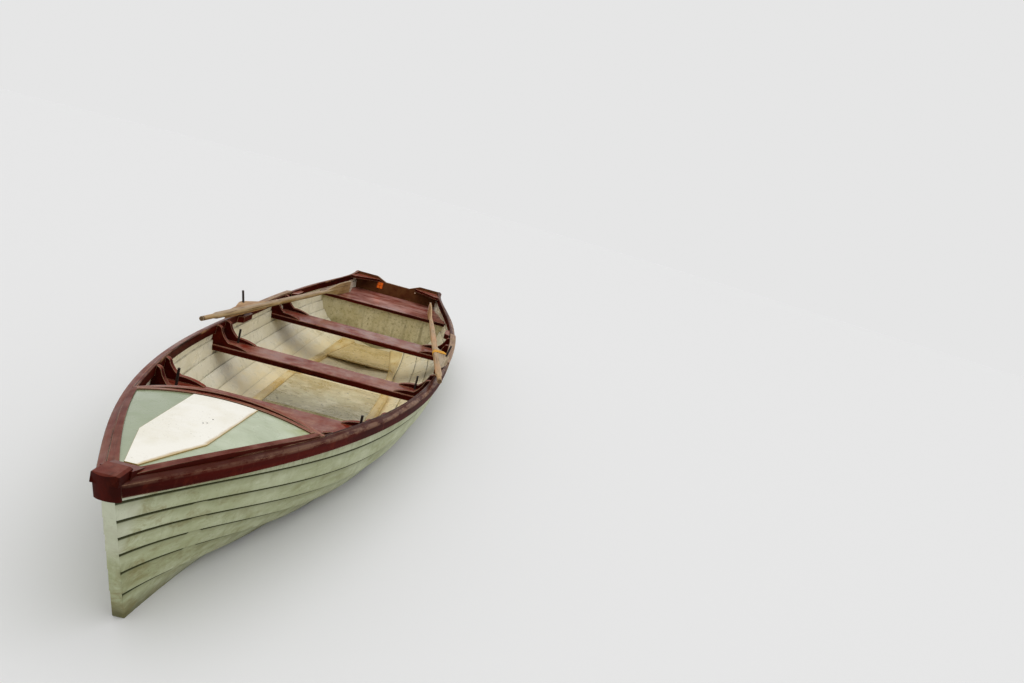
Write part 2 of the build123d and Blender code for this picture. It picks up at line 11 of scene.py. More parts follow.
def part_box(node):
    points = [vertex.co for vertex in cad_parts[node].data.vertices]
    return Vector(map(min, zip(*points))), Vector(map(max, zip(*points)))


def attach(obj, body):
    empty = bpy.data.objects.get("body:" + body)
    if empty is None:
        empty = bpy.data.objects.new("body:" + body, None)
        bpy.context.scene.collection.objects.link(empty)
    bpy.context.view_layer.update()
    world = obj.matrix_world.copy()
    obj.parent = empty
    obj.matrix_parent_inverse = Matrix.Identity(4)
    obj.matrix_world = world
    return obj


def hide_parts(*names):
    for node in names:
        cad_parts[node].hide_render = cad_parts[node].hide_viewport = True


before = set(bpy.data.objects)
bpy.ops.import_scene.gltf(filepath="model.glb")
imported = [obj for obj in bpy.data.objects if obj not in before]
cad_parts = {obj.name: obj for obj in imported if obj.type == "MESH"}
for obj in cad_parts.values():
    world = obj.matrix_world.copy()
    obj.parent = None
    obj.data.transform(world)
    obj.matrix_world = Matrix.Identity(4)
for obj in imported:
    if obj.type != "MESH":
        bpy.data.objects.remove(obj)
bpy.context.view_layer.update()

bl_info = {
    "name": "Clinker rowing boat",
    "version": (1, 1, 0),
    "blender": (4, 5, 0),
    "location": "3D View > Sidebar > Rowing Boat",
    "description": "Dresses the packed rowing boat with its gelcoat, timber, iron and fittings",
    "category": "Object",
}

# The sheer line, in metres: how far along, half breadth at the rail, height above the water
SHEER_LINE = (
    (-2.87, 0.466, 0.540), (-2.17, 0.631, 0.456), (-1.37, 0.767, 0.401),
    (-0.47, 0.787, 0.386), (0.48, 0.737, 0.414), (1.28, 0.605, 0.466),
    (1.93, 0.421, 0.524), (2.46, 0.210, 0.578), (2.87, 0.020, 0.623),
)

# About how wide a strake shows, in metres
STRAKE_WIDTH = 0.09

# Where the stem's fore face starts and where it is full, along the boat
STEM_FACE = (2.735, 2.765)

# The port oar: its loom at the pin and its blade's tip
OAR_PIN = Vector((-0.330, 0.7085, 0.4470))
OAR_TIP = Vector((-2.450, 0.4200, 0.4243))

# Marks along an oar, in metres from its pin: where each starts and where it is full
OAR_MARKS = {"blade": (1.40, 1.62), "tip": (2.062, 2.070), "grip": (-0.53, -0.56), "end": (-0.655, -0.672)}

# The strap round the port oar and its block: how far along, and the block's outer face there
STRAP_STATIONS = ((-0.452, 0.7455), (-0.426, 0.7615), (-0.398, 0.7795), (-0.372, 0.7960))

# The strap's lowest and highest points on the block, and its middle
STRAP_HEIGHTS = (0.4105, 0.4700)
STRAP_MIDDLE = Vector((-0.412, 0.735, 0.441))

# Fixings in the raised panel: along, across
PANEL_FIXINGS = ((2.271, 0.041), (2.282, 0.030), (2.222, 0.043))

# The raised panel's port edge in two stretches: a point along and across, and how fast it spreads going aft
PANEL_EDGE = ((1.984, 0.136, 0.034), (2.455, 0.120, 0.349))

# The gutter between the foredeck and its edging, along the boat; it is painted dark as its shade
DECK_GUTTER = 1.949

# The stained after corner of the foredeck: where the stain starts and where it is full, along and across
DECK_CORNER = ((2.12, 1.98), (0.20, 0.34))

# The light is a little warm, and the grey behind the floor is plain
LIGHT_TINT = (1.0, 0.985, 0.95, 1.0)
BACKDROP = (0.79, 0.79, 0.79, 1.0)

# The overhead light: where it hangs and what it points at
LAMP_PLACE = Vector((1.6, 0.7, 7.0))
LAMP_AIM = Vector((0.3, 0.0, 0.2))

# The photograph's camera: its place, its turn in radians, and its lens and sensor in millimetres
CAMERA_PLACE = (4.75740, 0.91355, 1.70939)
CAMERA_TURN = (1.370313, -0.270305, 1.561733)
CAMERA_LENS, CAMERA_SENSOR = 24.036, 36.0


# Small helpers for meshes

def srgb(red, green, blue):
    """A colour as it is seen, 0 to 255, in the linear numbers that shaders use."""
    parts = []
    for level in (red, green, blue):
        share = level / 255
        parts.append(share / 12.92 if share <= 0.04045 else ((share + 0.055) / 1.055) ** 2.4)
    return (*parts, 1.0)


def sheer_at(along):
    """Half breadth and height of the sheer at a distance along the boat."""
    along = min(max(along, SHEER_LINE[0][0]), SHEER_LINE[-1][0])
    for low, high in zip(SHEER_LINE, SHEER_LINE[1:]):
        if along <= high[0]:
            share = (along - low[0]) / (high[0] - low[0])
            return low[1] + (high[1] - low[1]) * share, low[2] + (high[2] - low[2]) * share
    return SHEER_LINE[-1][1:]


def finish_piece(shape, name, material, body="boat", smooth_angle=40.0, extra=()):
    """Turn a bmesh into a piece that rides on a body, with its finish."""
    for edge in shape.edges:
        if len(edge.link_faces) == 2:
            edge.smooth = edge.calc_face_angle(0.0) < math.radians(smooth_angle)
    for face in shape.faces:
        face.smooth = True
    mesh = bpy.data.meshes.new(name)
    shape.to_mesh(mesh)
    shape.free()
    mesh.materials.append(material)
    for other in extra:
        mesh.materials.append(other)
    piece = bpy.data.objects.new(name, mesh)
    bpy.context.scene.collection.objects.link(piece)
    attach(piece, body)
    return piece


def merged_copy(node):
    """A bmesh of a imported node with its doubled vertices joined."""
    weld = 0.00003
    shape = bmesh.new()
    shape.from_mesh(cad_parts[node].data)
    bmesh.ops.remove_doubles(shape, verts=shape.verts, dist=weld)
    return shape


def paint(node, material):
    """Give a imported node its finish."""
    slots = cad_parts[node].material_slots
    for slot in slots:
        slot.material = material
    if not slots:
        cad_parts[node].data.materials.append(material)


# Node trees

class Maker:
    """Adds nodes to one tree and joins their sockets."""

    def __init__(self, tree):
        self.tree = tree

    def fill(self, node, values):
        """Fill a node's sockets with numbers, or join them to other nodes' outputs."""
        for key, value in values.items():
            if isinstance(value, bpy.types.NodeSocket):
                self.tree.links.new(value, node.inputs[key])
            else:
                node.inputs[key].default_value = value

    def node(self, kind, values=None, **settings):
        """Add a node, set its settings and fill its sockets."""
        node = self.tree.nodes.new(kind)
        for key, value in settings.items():
            setattr(node, key, value)
        self.fill(node, values or {})
        return node

    def place(self):
        """Object coordinates, in metres in the boat's frame."""
        return self.node("ShaderNodeTexCoord").outputs["Object"]

    def facing(self):
        """How far the surface looks along, across and up."""
        return self.apart(self.node("ShaderNodeNewGeometry").outputs["Normal"])

    def carried(self, name):
        """A vector that the mesh carries under a name."""
        return self.node("ShaderNodeAttribute", attribute_name=name).outputs["Vector"]

    def stretch(self, vector, scale, turn=(0.0, 0.0, 0.0)):
        """Coordinates scaled along each axis, after a turn."""
        return self.node("ShaderNodeMapping", {"Vector": vector, "Scale": scale, "Rotation": turn}).outputs[0]

    def noise(self, vector, scale, detail=3.0, rough=0.55, twist=0.0):
        """Fractal noise from 0 to 1."""
        return self.node("ShaderNodeTexNoise", {"Vector": vector, "Scale": scale, "Detail": detail,
                                                "Roughness": rough, "Distortion": twist}).outputs[0]

    def span(self, value, low, high, to_low=0.0, to_high=1.0):
        """A value stretched between two limits and held there."""
        return self.node("ShaderNodeMapRange", {"Value": value, "From Min": low, "From Max": high,
                                                "To Min": to_low, "To Max": to_high}).outputs[0]

    def band(self, value, middle, half, soft):
        """One inside a band about a middle value, and nothing outside it."""
        off = self.sum("ABSOLUTE", self.sum("SUBTRACT", value, middle))
        return self.span(off, half + soft, half)

    def sum(self, operation, first, second=0.0):
        """One arithmetic step."""
        return self.node("ShaderNodeMath", {0: first, 1: second}, operation=operation).outputs[0]

    def times(self, *values):
        """Several values multiplied."""
        product = values[0]
        for value in values[1:]:
            product = self.sum("MULTIPLY", product, value)
        return product

    def mix(self, share, first, second):
        """Two colours mixed."""
        node = self.node("ShaderNodeMix", data_type="RGBA")
        self.fill(node, {0: share, 6: first, 7: second})
        return node.outputs[2]

    def apart(self, vector):
        """A vector's three parts."""
        return self.node("ShaderNodeSeparateXYZ", {0: vector}).outputs

    def effect(self, name, **values):
        """One of the shared effects below, with this finish's own values."""
        node = self.node("ShaderNodeGroup", node_tree=bpy.data.node_groups[name])
        self.fill(node, {key.replace("_", " "): value for key, value in values.items()})
        return node.outputs

    def bump(self, height, strength, distance, normal=None):
        """A normal from a height."""
        values = {"Height": height, "Strength": strength, "Distance": distance}
        if normal is not None:
            values["Normal"] = normal
        return self.node("ShaderNodeBump", values).outputs[0]

    def eased(self, radius):
        """A normal that rounds the edges a little."""
        return self.node("ShaderNodeBevel", {"Radius": radius}, samples=4).outputs[0]


def new_effect(name, inputs, outputs):
    """Start a shared effect: its maker, its input sockets and its output node."""
    group = bpy.data.node_groups.new(name, "ShaderNodeTree")
    for label, kind, default in inputs:
        socket = group.interface.new_socket(label, in_out="INPUT", socket_type=kind)
        socket.default_value = default
    for label in outputs:
        group.interface.new_socket(label, in_out="OUTPUT", socket_type="NodeSocketFloat")
    maker = Maker(group)
    return maker, maker.node("NodeGroupInput").outputs, maker.node("NodeGroupOutput")


def effect_wear():
    """Worn arrises: where the rounded normal leaves the flat one, broken up by noise."""
    maker, given, out = new_effect(
        "arris_wear",
        [("Radius", "NodeSocketFloat", 0.006), ("Amount", "NodeSocketFloat", 0.5),
         ("Patch Scale", "NodeSocketFloat", 9.0)],
        ["Mask"])
    rounded = maker.node("ShaderNodeBevel", {"Radius": given["Radius"]}, samples=6).outputs[0]
    flat = maker.node("ShaderNodeNewGeometry").outputs["Normal"]
    facing = maker.node("ShaderNodeVectorMath", {0: rounded, 1: flat},
                        operation="DOT_PRODUCT").outputs["Value"]
    edge = maker.span(facing, 0.995, 0.88)
    patches = maker.noise(maker.place(), given["Patch Scale"], 4.0, 0.65)
    threshold = maker.sum("SUBTRACT", 0.85, given["Amount"])
    broken = maker.span(maker.sum("SUBTRACT", patches, threshold), -0.06, 0.12)
    maker.fill(out, {"Mask": maker.times(edge, broken)})


def effect_grain():
    """Timber grain: long fibres and a fainter broad figure."""
    maker, given, out = new_effect(
        "timber_grain",
        [("Vector", "NodeSocketVector", (0.0, 0.0, 0.0)), ("Fineness", "NodeSocketFloat", 60.0)],
        ["Fibre", "Figure"])
    fibre = maker.noise(given["Vector"], given["Fineness"], 5.0, 0.7, 0.3)
    broad = maker.noise(given["Vector"], maker.times(given["Fineness"], 0.18), 3.0, 0.5, 1.2)
    maker.fill(out, {"Fibre": fibre, "Figure": broad})


def effect_grime_and_shade():
    """Dirt and painted shade in corners, found by ambient occlusion, broken up by noise."""
    maker, given, out = new_effect(
        "corner_grime_and_shade",
        [("Reach", "NodeSocketFloat", 0.05), ("Open", "NodeSocketFloat", 0.95),
         ("Shut", "NodeSocketFloat", 0.45), ("Amount", "NodeSocketFloat", 0.5),
         ("Patch Scale", "NodeSocketFloat", 12.0), ("Even", "NodeSocketFloat", 0.35)],
        ["Mask"])
    # Ambient occlusion darkens corners: this mask paints their shade as well as their dirt
    nook = maker.node("ShaderNodeAmbientOcclusion", {"Distance": given["Reach"]}, samples=12,
                      only_local=True).outputs["AO"]
    closed = maker.span(nook, given["Open"], given["Shut"])
    patches = maker.span(maker.noise(maker.place(), given["Patch Scale"], 4.0, 0.6), 0.36, 0.62,
                         given["Even"], 1.0)
    maker.fill(out, {"Mask": maker.times(closed, patches, given["Amount"])})


def effect_runs():
    """Marks left by water running down."""
    maker, given, out = new_effect(
        "water_runs",
        [("Width", "NodeSocketFloat", 28.0), ("Amount", "NodeSocketFloat", 0.5)],
        ["Mask"])
    place = maker.place()
    narrow = maker.noise(maker.stretch(place, (1.0, 1.0, 0.07)), given["Width"], 3.0, 0.6)
    broken = maker.noise(place, 5.0, 4.0, 0.6)
    maker.fill(out, {"Mask": maker.times(maker.span(narrow, 0.5, 0.72), maker.span(broken, 0.4, 0.62),
                                         given["Amount"])})


def effect_wet():
    """Rain on a surface: beads that stand up and a film that changes its gloss."""
    maker, given, out = new_effect(
        "rain_beads",
        [("Bead Scale", "NodeSocketFloat", 160.0), ("Cover", "NodeSocketFloat", 0.5)],
        ["Height", "Film"])
    place = maker.place()
    cell = maker.node("ShaderNodeTexVoronoi", {"Vector": place, "Scale": given["Bead Scale"],
                                               "Randomness": 1.0})
    bead = maker.span(cell.outputs["Distance"], 0.34, 0.0)
    patches = maker.noise(place, 7.0, 3.0, 0.6)
    chosen = maker.span(maker.sum("ADD", patches, given["Cover"]), 0.92, 1.08)
    maker.fill(out, {"Height": maker.times(bead, chosen), "Film": maker.span(patches, 0.38, 0.62)})


def effect_specks():
    """Small dark specks of dirt in two sizes, thrown down unevenly."""
    maker, given, out = new_effect(
        "dirt_specks",
        [("Scale", "NodeSocketFloat", 90.0), ("Amount", "NodeSocketFloat", 0.5)],
        ["Mask"])
    place = maker.place()
    masks = []
    for finer, cut, rarity in ((1.0, 0.20, 0.60), (2.7, 0.26, 0.48)):
        cell = maker.node("ShaderNodeTexVoronoi", {"Vector": place, "Randomness": 1.0,
                                                   "Scale": maker.times(given["Scale"], finer)})
        kept = maker.span(maker.apart(cell.outputs["Color"])[0], rarity, rarity + 0.1)
        masks.append(maker.times(maker.span(cell.outputs["Distance"], cut, cut * 0.4), kept))
    both = maker.sum("MAXIMUM", masks[0], masks[1])
    spread = maker.span(maker.noise(place, 6.0, 4.0, 0.65), 0.42, 0.62)
    maker.fill(out, {"Mask": maker.times(both, spread, given["Amount"])})


def start_finish(name, **numbers):
    """An empty material, its maker and its shader, with plain numbers set on the shader's own sockets."""
    material = bpy.data.materials.new(name)
    material.use_nodes = True
    material.node_tree.nodes.clear()
    maker = Maker(material.node_tree)
    shader = maker.node("ShaderNodeBsdfPrincipled",
                        {key.replace("_", " "): value for key, value in numbers.items()})
    maker.node("ShaderNodeOutputMaterial", {"Surface": shader.outputs[0]})
    return material, maker, shader


def join(maker, shader, **sockets):
    """Join outputs to the shader's sockets."""
    maker.fill(shader, {key.replace("_", " "): value for key, value in sockets.items()})


# Sizes and colours that a user would change

def colour_property(label, text, value):
    """A colour in a property group."""
    return FloatVectorProperty(name=label, description=text, default=value, size=4, min=0.0, max=1.0,
                               subtype="COLOR")


class BOAT_PG_gelcoat(PropertyGroup):
    outside: colour_property("Outside", "Pale sage of the topsides", srgb(188, 194, 162))
    outside_dull: colour_property("Outside Dull", "Weathered patches of the topsides", srgb(164, 170, 132))
    stain: colour_property("Stain", "Olive stain low on the topsides", srgb(116, 110, 58))
    # Dark growth and painted shade under each strake
    lap_growth_and_shade: colour_property("Lap Line", "Dark growth under each strake", srgb(40, 42, 12))
    inside: colour_property("Inside", "Cream of the inner moulding", srgb(232, 226, 202))
    inside_dirt: colour_property("Inside Dirt", "Grey-green dirt on the inner moulding", srgb(126, 120, 80))
    ochre: colour_property("Ochre", "Yellow stain where rain water lies", srgb(214, 180, 106))
    deck: colour_property("Deck", "Sage of the foredeck", srgb(166, 178, 148))
    panel: colour_property("Panel", "Ivory of the raised panel", srgb(250, 248, 240))
    floor: colour_property("Floor", "Grey-olive of the floor panels", srgb(208, 201, 166))


class BOAT_PG_timber(PropertyGroup):
    varnish: colour_property("Varnish", "Oxblood varnish on upright faces", srgb(74, 14, 6))
    varnish_deep: colour_property("Varnish Deep", "Darkest varnish in the grain", srgb(38, 5, 2))
    varnish_top: colour_property("Varnish on Top", "Wet red varnish on flat tops", srgb(118, 40, 24))
    # Faded varnish and painted sheen on flat tops
    varnish_faded_and_sheen: colour_property("Varnish Faded", "Faded varnish on flat tops", srgb(156, 106, 88))
    worn: colour_property("Worn", "Bare timber on worn arrises", srgb(172, 138, 110))
    # Dark wet timber and painted shade in corners, and the dark seam in the rail
    corner_shade_and_seam: colour_property("Dark", "Wet timber in corners", srgb(34, 10, 5))
    oar: colour_property("Oar", "Weathered wood of the oars", srgb(168, 142, 98))
    # Dark grain of the oars, also their painted shade on undersides
    oar_dark_and_shade: colour_property("Oar Dark", "Dark grain and ends of the oars", srgb(84, 56, 28))


class BOAT_PG_fittings(PropertyGroup):
    iron: colour_property("Iron", "Black iron of the pins", srgb(44, 40, 38))
    reflector: colour_property("Reflector", "Orange of the reflector", srgb(255, 132, 14))
    knob: colour_property("Knob", "Cream of the knob", srgb(226, 200, 178))
    strap: colour_property("Strap", "Yellow strap round the port oar", srgb(238, 176, 60))
    strap_thickness: FloatProperty(name="Strap Thickness", description="Thickness of the strap's webbing",
                                   default=0.0014, min=0.0005, max=0.005, unit="LENGTH")
    screw_radius: FloatProperty(name="Screw Radius", description="Radius of the panel's fixings",
                                default=0.003, min=0.001, max=0.02, unit="LENGTH")


class BOAT_PG_stage(PropertyGroup):
    floor_reach: FloatProperty(name="Floor Reach", description="How far the floor spreads", default=60.0,
                               min=5.0, max=500.0, unit="LENGTH")
    floor_tone: FloatProperty(name="Floor Tone", description="How pale the floor is", default=0.86,
                              min=0.0, max=1.0, subtype="FACTOR")
    sky: FloatProperty(name="Sky", description="Strength of the even light from all round", default=0.68,
                       min=0.0, max=5.0)
    lamp: FloatProperty(name="Lamp", description="Strength of the soft light from overhead", default=0.95,
                        min=0.0, max=20.0)
    lamp_spread: FloatProperty(name="Lamp Spread", description="How wide the soft light is",
                               default=math.radians(85), min=0.0, max=math.pi, subtype="ANGLE")


# Finishes

def finish_hull_outside(colours):
    """Weathered gelcoat with growth and painted shade under the laps and the rail, runs, and an olive stain
    low down.
    """
    material, maker, shader = start_finish("gelcoat_outside", IOR=1.45, Specular_IOR_Level=0.3)
    place = maker.place()
    along, _, up = maker.apart(place)
    below_sheer, below_lap, _ = maker.apart(maker.carried("hull_marks"))
    broad = maker.noise(place, 2.4, 5.0, 0.62)
    tone = maker.mix(maker.span(broad, 0.36, 0.64), colours.outside_dull[:], colours.outside[:])
    streaks = maker.noise(maker.stretch(place, (0.22, 1.0, 1.7)), 16.0, 6.0, 0.7, 0.4)
    tone = maker.mix(maker.span(streaks, 0.5, 0.7, 0.0, 0.6), tone, srgb(142, 146, 104))
    pale = maker.noise(maker.stretch(place, (0.4, 1.0, 1.2)), 27.0, 5.0, 0.75)
    tone = maker.mix(maker.span(pale, 0.56, 0.72, 0.0, 0.5), tone, srgb(200, 205, 178))
    ragged = maker.span(broad, 0.3, 0.7, -0.13, 0.13)
    low = maker.span(maker.sum("ADD", up, ragged), 0.34, 0.03)
    forward = maker.span(along, 0.4, 2.2, 0.45, 1.0)
    mottle = maker.span(maker.noise(maker.stretch(place, (1.0, 1.0, 1.8)), 8.5, 6.0, 0.7, 0.6), 0.42, 0.64)
    tone = maker.mix(maker.times(low, mottle, forward, 0.72), tone, colours.stain[:])
    scum = maker.times(maker.span(maker.sum("ADD", up, maker.times(ragged, 0.3)), 0.075, 0.005), 0.75)
    tone = maker.mix(scum, tone, srgb(78, 74, 36))
    # Just under the rail: drip stains together with the rail's painted shade
    under_rail_stain_and_shade = maker.span(below_sheer, 0.125, 0.06)
    drips = maker.noise(maker.stretch(place, (1.0, 1.0, 0.1)), 30.0, 4.0, 0.65)
    tone = maker.mix(maker.times(under_rail_stain_and_shade, maker.span(drips, 0.4, 0.62), 0.5), tone, srgb(112, 104, 64))
    runs = maker.effect("water_runs", Width=34.0, Amount=0.5)["Mask"]
    tone = maker.mix(runs, tone, srgb(116, 118, 76))
    uneven = maker.noise(maker.stretch(place, (0.6, 1.0, 1.0)), 12.0, 5.0, 0.7)
    smudge = maker.noise(maker.stretch(place, (1.0, 1.0, 1.5)), 7.0, 6.0, 0.72, 0.8)
    tone = maker.mix(maker.times(maker.span(along, 2.0, 2.6), maker.span(smudge, 0.5, 0.64), 0.65), tone,
                     srgb(124, 112, 62))
    stem = maker.span(along, *STEM_FACE)
    tone = maker.mix(maker.times(stem, maker.span(broad, 0.35, 0.6, 0.45, 0.8)), tone, srgb(196, 200, 178))
    # Under each lap: a soft olive gradient and a dark line, partly growth and partly painted shade under the
    # overhang
    under_lap = maker.sum("SUBTRACT", below_lap, maker.span(along, 0.2, 2.4, 0.016, 0.010))
    spread = maker.sum("ADD", under_lap, maker.span(uneven, 0.3, 0.7, -0.010, 0.006))
    tone = maker.mix(maker.times(maker.span(spread, 0.032, 0.0), 0.5), tone, srgb(112, 114, 70))
    lap_dirt_and_shade = maker.span(under_lap, 0.006, 0.001)
    tone = maker.mix(maker.times(lap_dirt_and_shade, 0.95), tone, colours.lap_growth_and_shade[:])
    specks = maker.effect("dirt_specks", Scale=55.0, Amount=0.55)["Mask"]
    tone = maker.mix(specks, tone, srgb(78, 74, 44))
    rough = maker.sum("MAXIMUM", maker.span(streaks, 0.3, 0.7, 0.34, 0.6), lap_dirt_and_shade)
    height = maker.sum("ADD", maker.times(streaks, 0.4), maker.times(specks, -0.5))
    join(maker, shader, Base_Color=tone, Roughness=rough,
         Normal=maker.bump(height, 0.22, 0.002, maker.eased(0.002)))
    return material


def finish_hull_inside(colours):
    """Cream gelcoat, grimy and painted with shade along the laps and in its corners, and yellowed where water
    lies.
    """
    material, maker, shader = start_finish("gelcoat_inside", IOR=1.5)
    place = maker.place()
    up = maker.apart(place)[2]
    broad = maker.noise(place, 3.0, 5.0, 0.62)
    tone = maker.mix(maker.span(broad, 0.34, 0.62), colours.inside[:], srgb(248, 244, 228))
    smears = maker.noise(maker.stretch(place, (0.45, 1.0, 1.6)), 9.0, 6.0, 0.68, 0.8)
    tone = maker.mix(maker.span(smears, 0.5, 0.7, 0.0, 0.3), tone, srgb(192, 182, 138))
    low = maker.span(maker.sum("ADD", up, maker.span(smears, 0.3, 0.7, -0.07, 0.07)), 0.10, -0.05)
    tone = maker.mix(maker.times(low, 0.55), tone, srgb(240, 216, 150))
    runs = maker.effect("water_runs", Width=26.0, Amount=0.22)["Mask"]
    tone = maker.mix(runs, tone, colours.inside_dirt[:])
    blots = maker.span(maker.noise(place, 5.5, 5.0, 0.72, 0.5), 0.60, 0.72)
    tone = maker.mix(maker.times(blots, 0.3), tone, srgb(140, 122, 72))
    # Corners and laps darkened by ambient occlusion: dirt and painted shade
    deep = maker.effect("corner_grime_and_shade", Reach=0.07, Open=0.84, Shut=0.42, Amount=0.5, Patch_Scale=7.0,
                        Even=0.15)["Mask"]
    tone = maker.mix(deep, tone, srgb(112, 98, 52))
    lap_dirt_and_shade = maker.effect("corner_grime_and_shade", Reach=0.02, Open=0.92, Shut=0.55, Amount=0.25, Patch_Scale=9.0,
                        Even=0.1)["Mask"]
    tone = maker.mix(lap_dirt_and_shade, tone, srgb(120, 106, 62))
    specks = maker.effect("dirt_specks", Scale=60.0, Amount=0.7)["Mask"]
    tone = maker.mix(specks, tone, srgb(74, 62, 34))
    beads = maker.effect("rain_beads", Bead_Scale=120.0, Cover=0.42)
    rough = maker.span(beads["Film"], 0.0, 1.0, 0.24, 0.46)
    height = maker.sum("ADD", maker.times(smears, 0.5), maker.times(beads["Height"], 0.4))
    join(maker, shader, Base_Color=tone, Roughness=rough, Normal=maker.bump(height, 0.3, 0.003))
    return material


def finish_ridge(colours):
    """The moulded ridges beside the floor: bright ochre cream, muddy, with grime and painted shade in their
    corners.
    """
    material, maker, shader = start_finish("ridge_gelcoat", IOR=1.5)
    place = maker.place()
    broad = maker.noise(maker.stretch(place, (0.5, 1.0, 1.0)), 6.0, 6.0, 0.68, 0.4)
    tone = maker.mix(maker.span(broad, 0.38, 0.62), colours.ochre[:], srgb(232, 212, 160))
    mud = maker.noise(place, 26.0, 5.0, 0.7)
    tone = maker.mix(maker.span(mud, 0.55, 0.7, 0.0, 0.45), tone, srgb(146, 118, 62))
    # Corners darkened by ambient occlusion: grime and painted shade
    nook = maker.effect("corner_grime_and_shade", Reach=0.04, Open=0.92, Shut=0.5, Amount=0.7, Patch_Scale=8.0)["Mask"]
    tone = maker.mix(nook, tone, srgb(110, 86, 38))
    join(maker, shader, Base_Color=tone, Roughness=maker.span(broad, 0.35, 0.65, 0.22, 0.45),
         Normal=maker.bump(mud, 0.3, 0.002))
    return material


def finish_bulkhead(colours):
    """Olive-cream panel under the stern seat, speckled and damp low down."""
    material, maker, shader = start_finish("bulkhead_gelcoat", IOR=1.45)
    place = maker.place()
    broad = maker.noise(place, 5.0, 6.0, 0.7)
    tone = maker.mix(maker.span(broad, 0.36, 0.64), srgb(180, 170, 126), srgb(208, 200, 166))
    mottle = maker.noise(place, 38.0, 6.0, 0.75)
    tone = maker.mix(maker.span(mottle, 0.52, 0.66, 0.0, 0.7), tone, srgb(112, 100, 60))
    ragged = maker.span(broad, 0.3, 0.7, -0.1, 0.1)
    damp = maker.span(maker.sum("ADD", maker.apart(place)[2], ragged), 0.16, 0.0)
    tone = maker.mix(maker.times(damp, 0.6), tone, colours.inside_dirt[:])
    runs = maker.effect("water_runs", Width=24.0, Amount=0.6)["Mask"]
    tone = maker.mix(runs, tone, srgb(104, 94, 58))
    specks = maker.effect("dirt_specks", Scale=70.0, Amount=0.8)["Mask"]
    tone = maker.mix(specks, tone, srgb(70, 60, 36))
    join(maker, shader, Base_Color=tone, Roughness=maker.span(broad, 0.35, 0.65, 0.35, 0.6),
         Normal=maker.bump(mottle, 0.25, 0.002))
    return material


def finish_floor(colours):
    """Dirty floor panels, speckled and wet, pale where feet have scrubbed them."""
    material, maker, shader = start_finish("floor_gelcoat", IOR=1.45)
    place = maker.place()
    broad = maker.noise(place, 4.0, 6.0, 0.7, 0.5)
    tone = maker.mix(maker.span(broad, 0.36, 0.62), srgb(166, 159, 120), colours.floor[:])
    worn = maker.noise(maker.stretch(place, (1.0, 0.6, 1.0)), 11.0, 7.0, 0.75)
    tone = maker.mix(maker.span(worn, 0.48, 0.62, 0.0, 0.85), tone, srgb(228, 221, 192))
    ragged = maker.span(broad, 0.3, 0.7, -0.3, 0.3)
    aft = maker.span(maker.sum("ADD", maker.apart(place)[0], ragged), 0.0, -0.8)
    tone = maker.mix(maker.times(aft, 0.6), tone, colours.ochre[:])
    mud = maker.noise(place, 30.0, 5.0, 0.72)
    tone = maker.mix(maker.span(mud, 0.56, 0.70, 0.0, 0.8), tone, srgb(96, 86, 54))
    specks = maker.effect("dirt_specks", Scale=75.0, Amount=0.9)["Mask"]
    tone = maker.mix(specks, tone, srgb(56, 46, 26))
    # Corners darkened by ambient occlusion: dirt and painted shade
    corner_dirt_and_shade = maker.effect("corner_grime_and_shade", Reach=0.05, Open=0.92, Shut=0.5, Amount=0.8, Patch_Scale=9.0)["Mask"]
    tone = maker.mix(corner_dirt_and_shade, tone, srgb(86, 68, 32))
    rim = maker.effect("arris_wear", Radius=0.006, Amount=0.6, Patch_Scale=10.0)["Mask"]
    tone = maker.mix(rim, tone, srgb(112, 82, 40))
    height = maker.sum("ADD", mud, maker.times(specks, -0.6))
    join(maker, shader, Base_Color=tone, Roughness=maker.span(broad, 0.35, 0.65, 0.18, 0.48),
         Normal=maker.bump(height, 0.4, 0.003))
    return material


def finish_deck(colours):
    """Sage gelcoat of the foredeck, wet, duller to starboard, with scrub marks, grime and painted shade at
    its edges, and a gutter painted dark as its shade.
    """
    material, maker, shader = start_finish("deck_sage", IOR=1.5, Coat_Weight=0.25, Coat_Roughness=0.08)
    place = maker.place()
    along, across, _ = maker.apart(place)
    broad = maker.noise(place, 3.4, 5.0, 0.6)
    tone = maker.mix(maker.span(broad, 0.36, 0.64), colours.deck[:], srgb(196, 206, 182))
    brushed = maker.noise(maker.stretch(place, (1.2, 0.18, 1.0), (0.0, 0.0, 0.5)), 46.0, 4.0, 0.7)
    tone = maker.mix(maker.span(brushed, 0.5, 0.75, 0.0, 0.4), tone, srgb(142, 150, 116))
    tone = maker.mix(maker.span(across, 0.06, -0.1, 0.0, 0.8), tone, srgb(134, 148, 114))
    corner = maker.times(maker.span(along, *DECK_CORNER[0]), maker.span(across, *DECK_CORNER[1]))
    patchy = maker.span(maker.noise(place, 16.0, 5.0, 0.7), 0.38, 0.6)
    tone = maker.mix(maker.times(corner, patchy, 0.8), tone, srgb(150, 158, 84))
    # Painted shade in the gutter between the deck and its edging
    gutter_shade = maker.band(along, DECK_GUTTER, 0.004, 0.004)
    tone = maker.mix(gutter_shade, tone, srgb(34, 14, 8))
    # Edges darkened by ambient occlusion: grime and painted shade
    corner_dirt_and_shade = maker.effect("corner_grime_and_shade", Reach=0.035, Open=0.95, Shut=0.55, Amount=0.9,
                         Patch_Scale=10.0)["Mask"]
    tone = maker.mix(corner_dirt_and_shade, tone, srgb(112, 118, 66))
    specks = maker.effect("dirt_specks", Scale=60.0, Amount=0.5)["Mask"]
    tone = maker.mix(specks, tone, srgb(92, 90, 60))
    beads = maker.effect("rain_beads", Bead_Scale=150.0, Cover=0.45)
    height = maker.sum("ADD", beads["Height"], maker.times(brushed, 0.3))
    join(maker, shader, Base_Color=tone, Roughness=maker.span(beads["Film"], 0.0, 1.0, 0.2, 0.42),
         Normal=maker.bump(height, 0.25, 0.002))
    return material


